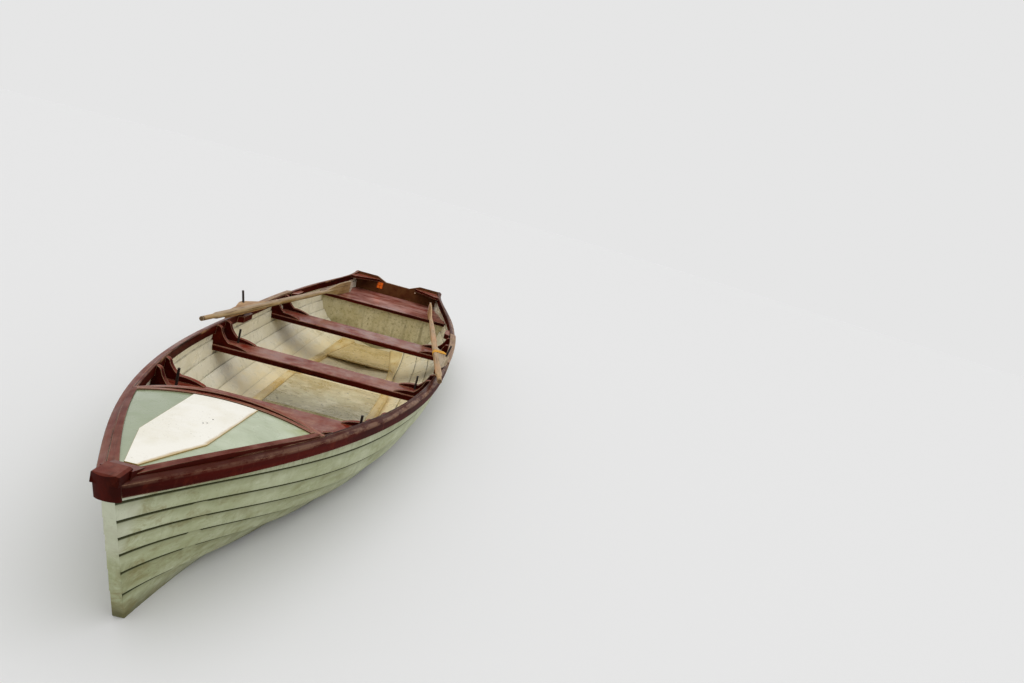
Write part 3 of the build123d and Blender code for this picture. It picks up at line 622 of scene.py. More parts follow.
def finish_panel(colours):
    """Ivory panel with scuffs and specks, yellowed along its port edge, its sides a darker yellow-brown."""
    material, maker, shader = start_finish("deck_panel_ivory", IOR=1.5, Coat_Weight=0.3, Coat_Roughness=0.1)
    place = maker.place()
    broad = maker.noise(place, 4.5, 5.0, 0.62)
    tone = maker.mix(maker.span(broad, 0.48, 0.74), colours.panel[:], srgb(236, 232, 216))
    scuff = maker.noise(maker.stretch(place, (1.0, 0.22, 1.0), (0.0, 0.0, 0.9)), 38.0, 6.0, 0.75)
    scuffed = maker.times(maker.span(scuff, 0.6, 0.74), maker.span(broad, 0.46, 0.6), 0.5)
    tone = maker.mix(scuffed, tone, srgb(164, 154, 126))
    specks = maker.effect("dirt_specks", Scale=64.0, Amount=0.5)["Mask"]
    tone = maker.mix(specks, tone, srgb(126, 116, 92))
    along, across, _ = maker.apart(place)
    insides = []
    for start, out, spread in PANEL_EDGE:
        edge = maker.sum("ADD", maker.times(maker.sum("SUBTRACT", start, along), spread), out)
        insides.append(maker.sum("SUBTRACT", edge, across))
    margin = maker.sum("MINIMUM", *insides)
    smeared = maker.sum("ADD", margin, maker.span(broad, 0.35, 0.65, -0.006, 0.008))
    tone = maker.mix(maker.times(maker.span(smeared, 0.014, 0.002), 0.85), tone, srgb(190, 160, 92))
    # The panel's sides, wherever they do not face up, are a darker yellow-brown
    darker_sides = maker.span(maker.facing()[2], 0.9, 0.5)
    tone = maker.mix(darker_sides, tone, srgb(150, 118, 54))
    wear = maker.effect("arris_wear", Radius=0.003, Amount=0.7, Patch_Scale=14.0)["Mask"]
    tone = maker.mix(wear, tone, srgb(192, 164, 96))
    join(maker, shader, Base_Color=tone, Roughness=maker.span(broad, 0.3, 0.7, 0.24, 0.42),
         Normal=maker.bump(maker.sum("ADD", scuff, specks), 0.1, 0.0015))
    return material


def finish_timber(colours, name, grain=(0.06, 1.0, 1.0), faded=1.0, bare=0.5, edges=0.5, wet=0.5,
                  carried=None, marks=None):
    """Varnished hardwood: oxblood on upright faces; lighter on tops, faded and rain-wet with a painted sheen;
    bare on its arrises.
    """
    material, maker, shader = start_finish(name, IOR=1.5, Specular_IOR_Level=0.03, Coat_Roughness=0.12,
                                           Coat_IOR=1.4)
    source = maker.carried(carried) if carried else maker.place()
    figure = maker.effect("timber_grain", Vector=maker.stretch(source, grain), Fineness=62.0)
    broad = maker.noise(maker.place(), 3.2, 5.0, 0.62)
    mottle = maker.noise(maker.place(), 15.0, 5.0, 0.68)
    top = maker.span(maker.facing()[2], 0.45, 0.85)
    upright = maker.mix(maker.span(figure["Figure"], 0.36, 0.64), colours.varnish_deep[:], colours.varnish[:])
    upright = maker.mix(maker.span(mottle, 0.54, 0.72, 0.0, 0.45), upright, srgb(98, 34, 16))
    patches = maker.sum("ADD", maker.times(broad, 0.6), maker.times(mottle, 0.4))
    # Tops lighter than upright faces: faded varnish, and a painted sheen in the pale patches
    flat = maker.mix(maker.span(patches, 0.42, 0.58, 0.0, faded), colours.varnish_top[:],
                     colours.varnish_faded_and_sheen[:])
    tone = maker.mix(top, upright, flat)
    tone = maker.mix(maker.span(figure["Fibre"], 0.5, 0.7, 0.0, 0.55), tone, colours.varnish_deep[:])
    stripped = maker.times(maker.span(figure["Fibre"], 0.30, 0.5, 1.0, 0.2), maker.span(mottle, 0.5, 0.66),
                           top, bare)
    tone = maker.mix(stripped, tone, colours.worn[:])
    edge = maker.effect("arris_wear", Radius=0.006, Amount=edges, Patch_Scale=6.0)["Mask"]
    tone = maker.mix(edge, tone, colours.worn[:])
    if marks:
        tone = marks(maker, source, tone, colours)
    # Corners darkened by ambient occlusion: wet dirt and painted shade
    corner_dirt_and_shade = maker.effect("corner_grime_and_shade", Reach=0.035, Open=0.94, Shut=0.5, Amount=0.8,
                         Patch_Scale=9.0)["Mask"]
    tone = maker.mix(corner_dirt_and_shade, tone, colours.corner_shade_and_seam[:])
    beads = maker.effect("rain_beads", Bead_Scale=130.0, Cover=0.45)
    height = maker.sum("ADD", maker.times(figure["Fibre"], 0.5), maker.times(beads["Height"], top))
    film = maker.span(beads["Film"], 0.0, 1.0, 0.35 * wet, wet)
    coat = maker.times(film, maker.span(top, 0.0, 1.0, 0.02, 0.8))
    rough = maker.sum("SUBTRACT", 0.55, maker.times(coat, 0.3))
    join(maker, shader, Base_Color=tone, Roughness=rough, Coat_Weight=coat,
         Normal=maker.bump(height, 0.22, 0.002, maker.eased(0.0035)))
    return material


# Marks on one kind of timber, left by weather or painted as sheen and highlight. Each takes the maker, the
# timber's own coordinates, its tone so far and the timber's colours, and gives back the tone.

def rail_marks(maker, source, tone, colours):
    """The rail: deep tops, a rubbed outer corner, a pale inner arris that is partly worn and partly a painted
    highlight, and a dark seam between its strips.
    """
    # Outwards from the sheer line and upwards from its height; side is 0 to starboard and 1 to port
    along, out, up = maker.apart(source)
    side = maker.span(maker.apart(maker.place())[1], -0.01, 0.01)
    tops = maker.times(maker.span(maker.facing()[2], 0.5, 0.8), maker.span(side, 0.0, 1.0, 0.25, 0.9))
    tone = maker.mix(tops, tone, srgb(60, 20, 9))
    rubbed = maker.times(maker.span(out, 0.010, 0.015), maker.span(up, -0.021, -0.013))
    broken = maker.span(maker.noise(maker.stretch(maker.place(), (0.5, 1.0, 1.0)), 20.0, 5.0, 0.7), 0.4, 0.56)
    amount = maker.times(maker.span(along, 2.5, 0.4, 0.15, 0.6), maker.span(side, 0.0, 1.0, 0.5, 1.0))
    tone = maker.mix(maker.times(rubbed, broken, amount), tone, srgb(168, 134, 110))
    # The pale inner arris: partly wear, partly a painted highlight where it catches the light
    inner = maker.times(maker.band(out, -0.0215, 0.003, 0.002), maker.span(up, -0.012, -0.004))
    inner = maker.times(inner, broken, maker.span(side, 0.0, 1.0, 0.85, 0.3))
    tone = maker.mix(inner, tone, srgb(160, 120, 86))
    face = maker.times(maker.span(out, 0.016, 0.020), maker.span(up, -0.012, -0.02))
    drips = maker.noise(maker.stretch(source, (1.0, 1.0, 0.08)), 46.0, 4.0, 0.65)
    tone = maker.mix(maker.times(face, maker.span(drips, 0.58, 0.74), 0.4), tone, srgb(110, 60, 40))
    aft = maker.times(face, maker.span(along, -0.2, -0.7), maker.span(broken, 0.0, 1.0, 0.4, 0.9))
    tone = maker.mix(aft, tone, srgb(176, 146, 108))
    seam = maker.times(maker.band(out, -0.008, 0.0012, 0.0008), maker.span(up, -0.004, 0.0))
    return maker.mix(seam, tone, colours.corner_shade_and_seam[:])


def head_marks(maker, source, tone, colours):
    """The stem head and the trims: a deeper, wetter varnish than on the thwarts."""
    depth = maker.span(maker.noise(maker.place(), 7.0, 4.0, 0.6), 0.3, 0.7, 0.6, 0.2)
    return maker.mix(depth, tone, srgb(58, 16, 7))


def seat_sheen_marks(maker, source, tone, colours):
    """The stern seat: a painted pale pink sheen on its top."""
    streaks = maker.noise(maker.stretch(maker.place(), (1.0, 0.3, 1.0)), 9.0, 5.0, 0.7)
    pink_sheen = maker.span(streaks, 0.45, 0.65, 0.05, 0.7)
    return maker.mix(maker.times(maker.span(maker.facing()[2], 0.5, 0.8), pink_sheen), tone, srgb(206, 160, 152))


def transom_marks(maker, source, tone, colours):
    """The board in the transom: its varnish bleached brown."""
    bleached = maker.span(maker.noise(maker.place(), 9.0, 5.0, 0.7), 0.35, 0.62, 0.3, 0.8)
    return maker.mix(bleached, tone, srgb(104, 68, 38))


def finish_cap():
    """The gunwale's cap where the oars are worked: greyed, rubbed and stained with growth."""
    material, maker, shader = start_finish("cap_timber", IOR=1.5, Specular_IOR_Level=0.25)
    source = maker.carried("rail_place")
    figure = maker.effect("timber_grain", Vector=maker.stretch(source, (0.06, 1.0, 1.0)), Fineness=70.0)
    mottle = maker.noise(maker.place(), 13.0, 6.0, 0.7)
    tone = maker.mix(maker.span(mottle, 0.38, 0.62), srgb(132, 96, 72), srgb(176, 148, 122))
    tone = maker.mix(maker.span(figure["Fibre"], 0.5, 0.68, 0.0, 0.65), tone, srgb(84, 44, 26))
    growth = maker.span(maker.noise(maker.place(), 9.0, 5.0, 0.7), 0.52, 0.64)
    tone = maker.mix(maker.times(growth, 0.6), tone, srgb(124, 104, 52))
    upright = maker.span(maker.facing()[2], 0.6, 0.2)
    tone = maker.mix(maker.times(upright, 0.65), tone, srgb(72, 30, 18))
    edge = maker.effect("arris_wear", Radius=0.005, Amount=0.7, Patch_Scale=8.0)["Mask"]
    tone = maker.mix(edge, tone, srgb(190, 160, 132))
    join(maker, shader, Base_Color=tone, Roughness=maker.span(mottle, 0.35, 0.65, 0.4, 0.65),
         Normal=maker.bump(figure["Fibre"], 0.35, 0.002, maker.eased(0.003)))
    return material


def finish_oar(colours, name, looks):
    """Weathered oar wood with long checks, grey on top, painted dark below as shade, its ends marked."""
    material, maker, shader = start_finish(name, IOR=1.45, Specular_IOR_Level=0.3)
    source = maker.carried("oar_place")
    along = maker.apart(source)[0]
    figure = maker.effect("timber_grain", Vector=maker.stretch(source, (0.05, 1.0, 1.0)), Fineness=85.0)
    broad = maker.noise(maker.stretch(source, (0.6, 1.0, 1.0)), 5.0, 5.0, 0.65)
    tone = maker.mix(maker.span(figure["Figure"], 0.36, 0.64), looks["base"], looks["light"])
    tone = maker.mix(maker.span(broad, 0.46, 0.62, 0.0, 0.75), tone, looks["patch"])
    up = maker.facing()[2]
    tone = maker.mix(maker.times(maker.span(up, 0.2, 0.85), looks["grey"]), tone, srgb(168, 148, 132))
    # Undersides darkened: painted shade
    tone = maker.mix(maker.span(up, -0.1, -0.7, 0.0, 0.7), tone, colours.oar_dark_and_shade[:])
    blade = maker.span(along, *OAR_MARKS["blade"])
    tone = maker.mix(maker.times(blade, 0.6), tone, looks["blade"])
    tip = maker.span(along, *OAR_MARKS["tip"])
    tone = maker.mix(maker.times(tip, 0.85), tone, looks["tip"])
    grip = maker.span(along, *OAR_MARKS["grip"])
    tone = maker.mix(maker.times(grip, 0.55), tone, srgb(176, 140, 88))
    end = maker.span(along, *OAR_MARKS["end"])
    tone = maker.mix(maker.times(end, 0.8), tone, srgb(58, 36, 20))
    tone = maker.mix(maker.span(figure["Fibre"], 0.52, 0.68, 0.0, 0.7), tone, colours.oar_dark_and_shade[:])
    checks = maker.noise(maker.stretch(source, (0.012, 1.0, 1.0)), 150.0, 2.0, 0.5)
    tone = maker.mix(maker.span(checks, 0.64, 0.7, 0.0, 0.9), tone, srgb(48, 32, 16))
    edge = maker.effect("arris_wear", Radius=0.006, Amount=0.45, Patch_Scale=8.0)["Mask"]
    tone = maker.mix(edge, tone, looks["light"])
    height = maker.sum("SUBTRACT", figure["Fibre"], maker.span(checks, 0.62, 0.7))
    join(maker, shader, Base_Color=tone, Roughness=maker.span(broad, 0.35, 0.65, 0.42, 0.7),
         Normal=maker.bump(height, 0.45, 0.002, maker.eased(0.004)))
    return material


def finish_iron(colours):
    """Black iron with rust in its pits and bright rubbed edges."""
    material, maker, shader = start_finish("black_iron", Metallic=0.55, IOR=1.6)
    pits = maker.noise(maker.place(), 180.0, 4.0, 0.65)
    tone = maker.mix(maker.span(pits, 0.55, 0.72), colours.iron[:], srgb(104, 58, 30))
    edge = maker.effect("arris_wear", Radius=0.002, Amount=0.5, Patch_Scale=40.0)["Mask"]
    tone = maker.mix(edge, tone, srgb(120, 114, 108))
    join(maker, shader, Base_Color=tone, Roughness=maker.span(pits, 0.3, 0.7, 0.35, 0.7),
         Normal=maker.bump(pits, 0.4, 0.0006))
    return material


def finish_reflector(colours):
    """Moulded orange lens in four quarters of small prisms, under a weather film."""
    low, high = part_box("reflector")
    middle = [(near + far) / 2 for near, far in zip(low, high)]
    material, maker, shader = start_finish("reflector_lens", IOR=1.45, Specular_IOR_Level=0.2)
    place = maker.place()
    _, across, up = maker.apart(place)
    eighth_turn = 0.785
    prisms = maker.stretch(place, (1.0, 1.0, 1.0), (eighth_turn, 0.0, 0.0))
    cells = maker.node("ShaderNodeTexVoronoi", {"Vector": prisms, "Scale": 190.0, "Randomness": 0.05})
    film = maker.noise(place, 60.0, 4.0, 0.6)
    tone = maker.mix(maker.span(cells.outputs["Distance"], 0.1, 0.6), colours.reflector[:], srgb(240, 106, 8))
    bars = maker.sum("MAXIMUM", maker.band(across, middle[1], 0.0018, 0.0008),
                     maker.band(up, middle[2], 0.0018, 0.0008))
    rim = maker.span(maker.sum("ABSOLUTE", maker.sum("SUBTRACT", across, middle[1])), 0.028, 0.0295)
    tone = maker.mix(maker.sum("MAXIMUM", bars, rim), tone, srgb(150, 56, 14))
    tone = maker.mix(maker.span(film, 0.6, 0.76, 0.0, 0.25), tone, srgb(190, 120, 50))
    join(maker, shader, Base_Color=tone, Roughness=maker.span(film, 0.3, 0.7, 0.15, 0.4),
         Normal=maker.bump(cells.outputs["Distance"], 0.5, 0.0008))
    return material


def finish_knob(colours):
    """Cream plastic knob, yellowed."""
    material, maker, shader = start_finish("knob_plastic", IOR=1.48)
    film = maker.noise(maker.place(), 90.0, 4.0, 0.6)
    tone = maker.mix(maker.span(film, 0.4, 0.7), colours.knob[:], srgb(206, 172, 138))
    join(maker, shader, Base_Color=tone, Roughness=maker.span(film, 0.3, 0.7, 0.25, 0.5),
         Normal=maker.bump(film, 0.15, 0.0005))
    return material


def finish_strap(colours):
    """Woven yellow strap, dirty at its edges."""
    material, maker, shader = start_finish("strap_webbing", IOR=1.4)
    place = maker.place()
    weave = maker.node("ShaderNodeTexWave", {"Vector": maker.stretch(place, (1.0, 1.0, 1.0), (0.4, 0.5, 0.2)),
                                             "Scale": 130.0, "Distortion": 1.5, "Detail": 2.0}).outputs["Fac"]
    dirt = maker.noise(place, 30.0, 4.0, 0.6)
    tone = maker.mix(maker.span(weave, 0.2, 0.8, 0.0, 0.5), colours.strap[:], srgb(168, 108, 28))
    tone = maker.mix(maker.span(dirt, 0.52, 0.7, 0.0, 0.4), tone, srgb(136, 98, 40))
    join(maker, shader, Base_Color=tone, Roughness=maker.span(dirt, 0.3, 0.7, 0.6, 0.85),
         Normal=maker.bump(weave, 0.5, 0.001))
    return material


def finish_screw():
    """Dull screw heads, tarnished nearly black."""
    material, maker, shader = start_finish("screw_tarnished", Metallic=0.6, IOR=1.5)
    tarnish = maker.noise(maker.place(), 240.0, 3.0, 0.6)
    tone = maker.mix(maker.span(tarnish, 0.4, 0.65), srgb(66, 60, 50), srgb(34, 30, 26))
    join(maker, shader, Base_Color=tone, Roughness=maker.span(tarnish, 0.3, 0.7, 0.35, 0.6),
         Normal=maker.bump(tarnish, 0.2, 0.0004))
    return material


# Operators, one for each group of pieces

class BOAT_OT_effects(Operator):
    """Build the shared effects that the finishes use"""
    bl_idname = "boat.effects"
    bl_label = "Shared Effects"

    def execute(self, context):
        for build in (effect_wear, effect_grain, effect_grime_and_shade, effect_runs, effect_wet, effect_specks):
            build()
        return {"FINISHED"}


class BOAT_OT_hull(Operator):
    """Dress the moulded hull outside and inside, its stern bulkhead and the ridges beside its floor"""
    bl_idname = "boat.hull"
    bl_label = "Hull"

    # Faces thinner than this are closed up first
    sliver = 0.0001

    # The step under a lap is narrower than this; its fold is sharper and runs more nearly along the boat
    lap_width = 0.0125
    lap_angle = math.radians(45)
    lap_run = 0.7

    # A normal with more than this share of an axis in it looks squarely along that axis
    squarely = 0.8

    def execute(self, context):
        colours = context.scene.boat_gelcoat
        shape = merged_copy("hull")
        bmesh.ops.dissolve_degenerate(shape, dist=self.sliver, edges=shape.edges)
        shape.normal_update()
        marks = shape.loops.layers.float_vector.new("hull_marks")
        tree = BVHTree.FromBMesh(shape)
        inner = {face for face in shape.faces if self.looks_inboard(face, tree)}
        outer = {face for face in shape.faces if face not in inner and not self.is_inner_ledge(face, inner)}
        laps = {edge for edge in shape.edges if self.is_lap(edge) and outer.issuperset(edge.link_faces)}
        drops = self.drops({vert for face in outer for vert in face.verts}, laps)
        for face in shape.faces:
            face.material_index = 0 if face in outer else 1
            looks_down = face.normal.z < -self.squarely
            ledge = face in outer and looks_down and self.width(face) < self.lap_width
            strake = face in outer and abs(face.normal.x) < self.squarely
            for loop in face.loops:
                below = sheer_at(loop.vert.co.x)[1] - loop.vert.co.z
                drop = 0.0 if ledge else drops[loop.vert] if strake else STRAKE_WIDTH
                loop[marks] = (below, drop, 0.0)
        piece = finish_piece(shape, "hull_moulding", finish_hull_outside(colours),
                             smooth_angle=28.0, extra=(finish_hull_inside(colours),))
        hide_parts("hull")
        paint("stern_bulkhead", finish_bulkhead(colours))
        ridge = finish_ridge(colours)
        for node in ("stringer_port", "stringer_starboard"):
            paint(node, ridge)
        return {"FINISHED"}

    def looks_inboard(self, face, tree):
        """Whether a face of the hull is seen from inside the boat."""
        stand_off, rail_cover, eye_height, eye_share = 0.001, 0.012, 0.32, 0.9
        middle = face.calc_center_median()
        if sheer_at(middle.x)[1] - middle.z < rail_cover:
            return False
        start = middle + face.normal * stand_off
        way = Vector((middle.x * eye_share, 0.0, eye_height)) - start
        return tree.ray_cast(start, way.normalized(), way.length)[0] is None

    def is_inner_ledge(self, face, inner):
        """Whether a face is the narrow step, looking up, between two strakes seen from inside."""
        least_up = 0.3
        if face.normal.z < least_up or self.width(face) > self.lap_width:
            return False
        return any(not inner.isdisjoint(edge.link_faces) for edge in face.edges)

    def is_lap(self, edge):
        """Whether an edge is the inward fold that runs along under a lap."""
        run = edge.verts[1].co - edge.verts[0].co
        lengthwise = abs(run.x) > self.lap_run * run.length
        return lengthwise and not edge.is_convex and edge.calc_face_angle(0.0) > self.lap_angle

    def drops(self, verts, laps):
        """How far each vertex is below the lap over it, in height: nothing for one in the lap's own fold."""
        close, least = 0.002, 0.012
        lines = [sorted((vert.co for vert in edge.verts), key=lambda place: place.x) for edge in laps]
        found = {}
        for vert in verts:
            along, out, up = vert.co
            found[vert] = STRAKE_WIDTH
            for near, far in lines:
                if near.x <= along <= far.x and near.y * out > 0:
                    share = (along - near.x) / (far.x - near.x)
                    on_line = near.lerp(far, share)
                    drop = on_line.z - up
                    if abs(drop) < close and abs(on_line.y - out) < close:
                        found[vert] = 0.0
                        break
                    if least < drop < found[vert]:
                        found[vert] = drop
        return found

    def width(self, face):
        """How narrow a face is across its longest edge."""
        return 2 * face.calc_area() / max(edge.calc_length() for edge in face.edges)


class BOAT_OT_gunwale(Operator):
    """Dress the outwales, inwales, caps, stem head and deck trims, their grain following the rail"""
    bl_idname = "boat.gunwale"
    bl_label = "Gunwale"

    # A deck trim's outer edge, less than trim_width in from the sheer, moves out to trim_gap from it
    trim_width = 0.026
    trim_gap = 0.0085

    def execute(self, context):
        timber = context.scene.boat_timber
        along_rail = {"edges": 0.4, "wet": 0.4, "carried": "rail_place"}
        rail = finish_timber(timber, "rail_timber", faded=0.45, bare=0.25, marks=rail_marks, **along_rail)
        trim = finish_timber(timber, "trim_timber", faded=0.5, bare=0.3, marks=head_marks, **along_rail)
        finishes = (("outwale", rail), ("inwale", rail), ("deck_trim", trim), ("gunwale_cap", finish_cap()))
        for family, material in finishes:
            for word in ("port", "starboard"):
                node = f"{family}_{word}"
                shape = merged_copy(node)
                layer = shape.verts.layers.float_vector.new("rail_place")
                for vert in shape.verts:
                    half, height = sheer_at(vert.co.x)
                    if family == "deck_trim" and abs(vert.co.y) > half - self.trim_width:
                        reach = max(abs(vert.co.y), half - self.trim_gap)
                        vert.co.y = math.copysign(reach, vert.co.y)
                    vert[layer] = (vert.co.x, abs(vert.co.y) - half, vert.co.z - height)
                piece = finish_piece(shape, f"{node}_rail", material, smooth_angle=30.0)
                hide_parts(node)
        head = finish_timber(timber, "stem_timber", grain=(0.3, 1.0, 0.3), faded=0.3, bare=0.2, edges=0.2,
                             marks=head_marks)
        for node in ("stem_head", "breast_hook"):
            paint(node, head)
        return {"FINISHED"}


class BOAT_OT_foredeck(Operator):
    """Dress the foredeck, its raised panel, the panel's fixings and the cambered beam"""
    bl_idname = "boat.foredeck"
    bl_label = "Foredeck"

    def execute(self, context):
        colours = context.scene.boat_gelcoat
        timber = context.scene.boat_timber
        paint("foredeck", finish_deck(colours))
        paint("deck_panel", finish_panel(colours))
        beam = finish_timber(timber, "beam_timber", grain=(1.0, 0.06, 1.0), faded=0.8, edges=0.7)
        for node in ("deck_beam", "deck_edging"):
            paint(node, beam)
        heads = bmesh.new()
        radius = context.scene.boat_fittings.screw_radius
        for along, across in PANEL_FIXINGS:
            head = bmesh.ops.create_uvsphere(heads, u_segments=14, v_segments=8, radius=radius)["verts"]
            bmesh.ops.scale(heads, vec=(1.0, 1.0, 0.4), verts=head)
            bmesh.ops.translate(heads, vec=(along, across, self.panel_height(along, across)), verts=head)
        finish_piece(heads, "panel_fixings", finish_screw())
        return {"FINISHED"}

    def panel_height(self, along, across):
        """The height of the raised panel's cambered top."""
        low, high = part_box("deck_panel")
        rise_per_metre, camber_radius = 0.0314, 1.4
        return high[2] - (high[0] - along) * rise_per_metre - across ** 2 / (2 * camber_radius)


class BOAT_OT_seats(Operator):
    """Dress the thwarts, the stern seat and the knees"""
    bl_idname = "boat.seats"
    bl_label = "Seats and Knees"

    def execute(self, context):
        timber = context.scene.boat_timber
        plank = finish_timber(timber, "thwart_timber", grain=(1.0, 0.05, 1.0), faded=0.75, bare=0.3,
                              edges=0.45, wet=0.9)
        for node in ("bow_thwart", "mid_thwart", "aft_thwart"):
            paint(node, plank)
        paint("stern_seat", finish_timber(timber, "seat_timber", grain=(1.0, 0.05, 1.0), faded=0.5, bare=0.3,
                                          edges=0.45, wet=0.9, marks=seat_sheen_marks))
        grown = finish_timber(timber, "knee_timber", grain=(1.0, 0.25, 0.5), faded=0.4, bare=0.35, edges=0.7,
                              wet=0.35)
        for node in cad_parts:
            if "_knee_" in node:
                paint(node, grown)
        return {"FINISHED"}


class BOAT_OT_transom(Operator):
    """Dress the board inside the transom, the reflector and the knob"""
    bl_idname = "boat.transom"
    bl_label = "Transom"

    def execute(self, context):
        paint("transom_facing", finish_timber(context.scene.boat_timber, "transom_timber",
                                              grain=(1.0, 0.06, 1.0), faded=0.7, edges=0.5, wet=0.4,
                                              marks=transom_marks))
        paint("reflector", finish_reflector(context.scene.boat_fittings))
        paint("light_knob", finish_knob(context.scene.boat_fittings))
        return {"FINISHED"}


class BOAT_OT_floor(Operator):
    """Dress the floor panels"""
    bl_idname = "boat.floor"
    bl_label = "Floor"

    def execute(self, context):
        material = finish_floor(context.scene.boat_gelcoat)
        for node in ("floor_aft", "floor_middle", "floor_forward"):
            paint(node, material)
        return {"FINISHED"}


class BOAT_OT_tholes(Operator):
    """Dress the thole pads and the iron pins"""
    bl_idname = "boat.tholes"
    bl_label = "Tholes"

    def execute(self, context):
        pad = finish_timber(context.scene.boat_timber, "pad_timber", grain=(0.1, 1.0, 1.0), edges=0.6)
        iron = finish_iron(context.scene.boat_fittings)
        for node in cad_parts:
            if node.startswith("thole_pad"):
                paint(node, pad)
            elif node.startswith("thole_pin") or node.endswith("_thwart_pins"):
                paint(node, iron)
        return {"FINISHED"}


class BOAT_OT_oars(Operator):
    """Dress the oars and their blocks, and strap the port oar to its block"""
    bl_idname = "boat.oars"
    bl_label = "Oars"

    def execute(self, context):
        timber = context.scene.boat_timber
        loom = {
            "port": {"base": srgb(172, 140, 98), "light": srgb(204, 172, 128), "patch": srgb(206, 148, 100),
                     "grey": 0.3, "blade": srgb(176, 140, 92), "tip": srgb(222, 190, 176)},
            "starboard": {"base": timber.oar[:], "light": srgb(196, 172, 132), "patch": srgb(150, 118, 66),
                          "grey": 0.65, "blade": srgb(140, 110, 62), "tip": srgb(196, 190, 176)},
        }
        block = {
            "port": {"base": srgb(168, 148, 116), "light": srgb(198, 180, 150), "patch": srgb(150, 124, 88),
                     "grey": 0.4, "blade": srgb(150, 124, 88), "tip": srgb(150, 124, 88)},
            "starboard": {"base": srgb(164, 120, 74), "light": srgb(196, 156, 106),
                          "patch": srgb(142, 98, 56), "grey": 0.2, "blade": srgb(142, 98, 56),
                          "tip": srgb(142, 98, 56)},
        }
        for word, side, body in (("port", 1.0, "boat"), ("starboard", -1.0, "starboard_oar")):
            for family, looks in (("oar", loom[word]), ("oar_block", block[word])):
                shape = self.placed_copy(f"{family}_{word}", side)
                wood = finish_oar(timber, f"{family}_wood_{word}", looks)
                piece = finish_piece(shape, f"{family}_{word}_wood", wood, body=body,
                                     smooth_angle=35.0)
                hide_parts(f"{family}_{word}")
        self.strap(context.scene.boat_fittings)
        return {"FINISHED"}

    def placed_copy(self, node, side):
        """A copy of an oar's piece that carries its place along the oar, across it and up."""
        mirror = Vector((1.0, side, 1.0))
        pin, tip = OAR_PIN * mirror, OAR_TIP * mirror
        way = (tip - pin).normalized()
        across = Vector((0.0, 0.0, 1.0)).cross(way).normalized()
        upward = way.cross(across)
        shape = merged_copy(node)
        layer = shape.verts.layers.float_vector.new("oar_place")
        for vert in shape.verts:
            reach = vert.co - pin
            vert[layer] = (reach.dot(way), reach.dot(across), reach.dot(upward))
        return shape

    def section(self, along, outer):
        """The strap's section round the loom and the block at one distance along."""
        share = (along - OAR_PIN.x) / (OAR_TIP.x - OAR_PIN.x)
        loom = OAR_PIN.lerp(OAR_TIP, share)
        rounds = ((0.004, 0.0247), (-0.0125, 0.0212), (-0.0222, 0.0120), (-0.0252, 0.0),
                  (-0.0222, -0.0120), (-0.0125, -0.0218), (-0.0020, -0.0360))
        clear = 0.0015
        points = [(outer + clear, height) for height in STRAP_HEIGHTS]
        points += [(loom.y + out, loom.z + up) for out, up in rounds]
        return [Vector((along, out, up)) for out, up in points]

    def strap(self, fittings):
        """The webbing strap, drawn from one end's section by extruding it along."""
        band = bmesh.new()
        ring = [band.verts.new(point) for point in self.section(*STRAP_STATIONS[0])]
        edges = [band.edges.new((ring[i - 1], ring[i])) for i in range(len(ring))]
        places = {vert: number for number, vert in enumerate(ring)}
        for station in STRAP_STATIONS[1:]:
            points = self.section(*station)
            made = bmesh.ops.extrude_edge_only(band, edges=edges)["geom"]
            grown = [item for item in made if isinstance(item, bmesh.types.BMVert)]
            following = {}
            for vert in grown:
                beside = (edge.other_vert(vert) for edge in vert.link_edges)
                following[vert] = next(places[other] for other in beside if other in places)
            for vert, number in following.items():
                vert.co = points[number]
            edges = [item for item in made if isinstance(item, bmesh.types.BMEdge)
                     and item.verts[0] in following and item.verts[1] in following]
            places = following
        bmesh.ops.recalc_face_normals(band, faces=band.faces)
        if sum(face.normal.dot(face.calc_center_median() - STRAP_MIDDLE) for face in band.faces) < 0:
            bmesh.ops.reverse_faces(band, faces=band.faces)
        piece = finish_piece(band, "oar_strap", finish_strap(fittings))
        wall = piece.modifiers.new("webbing", "SOLIDIFY")
        wall.thickness = fittings.strap_thickness
        wall.offset = 1.0


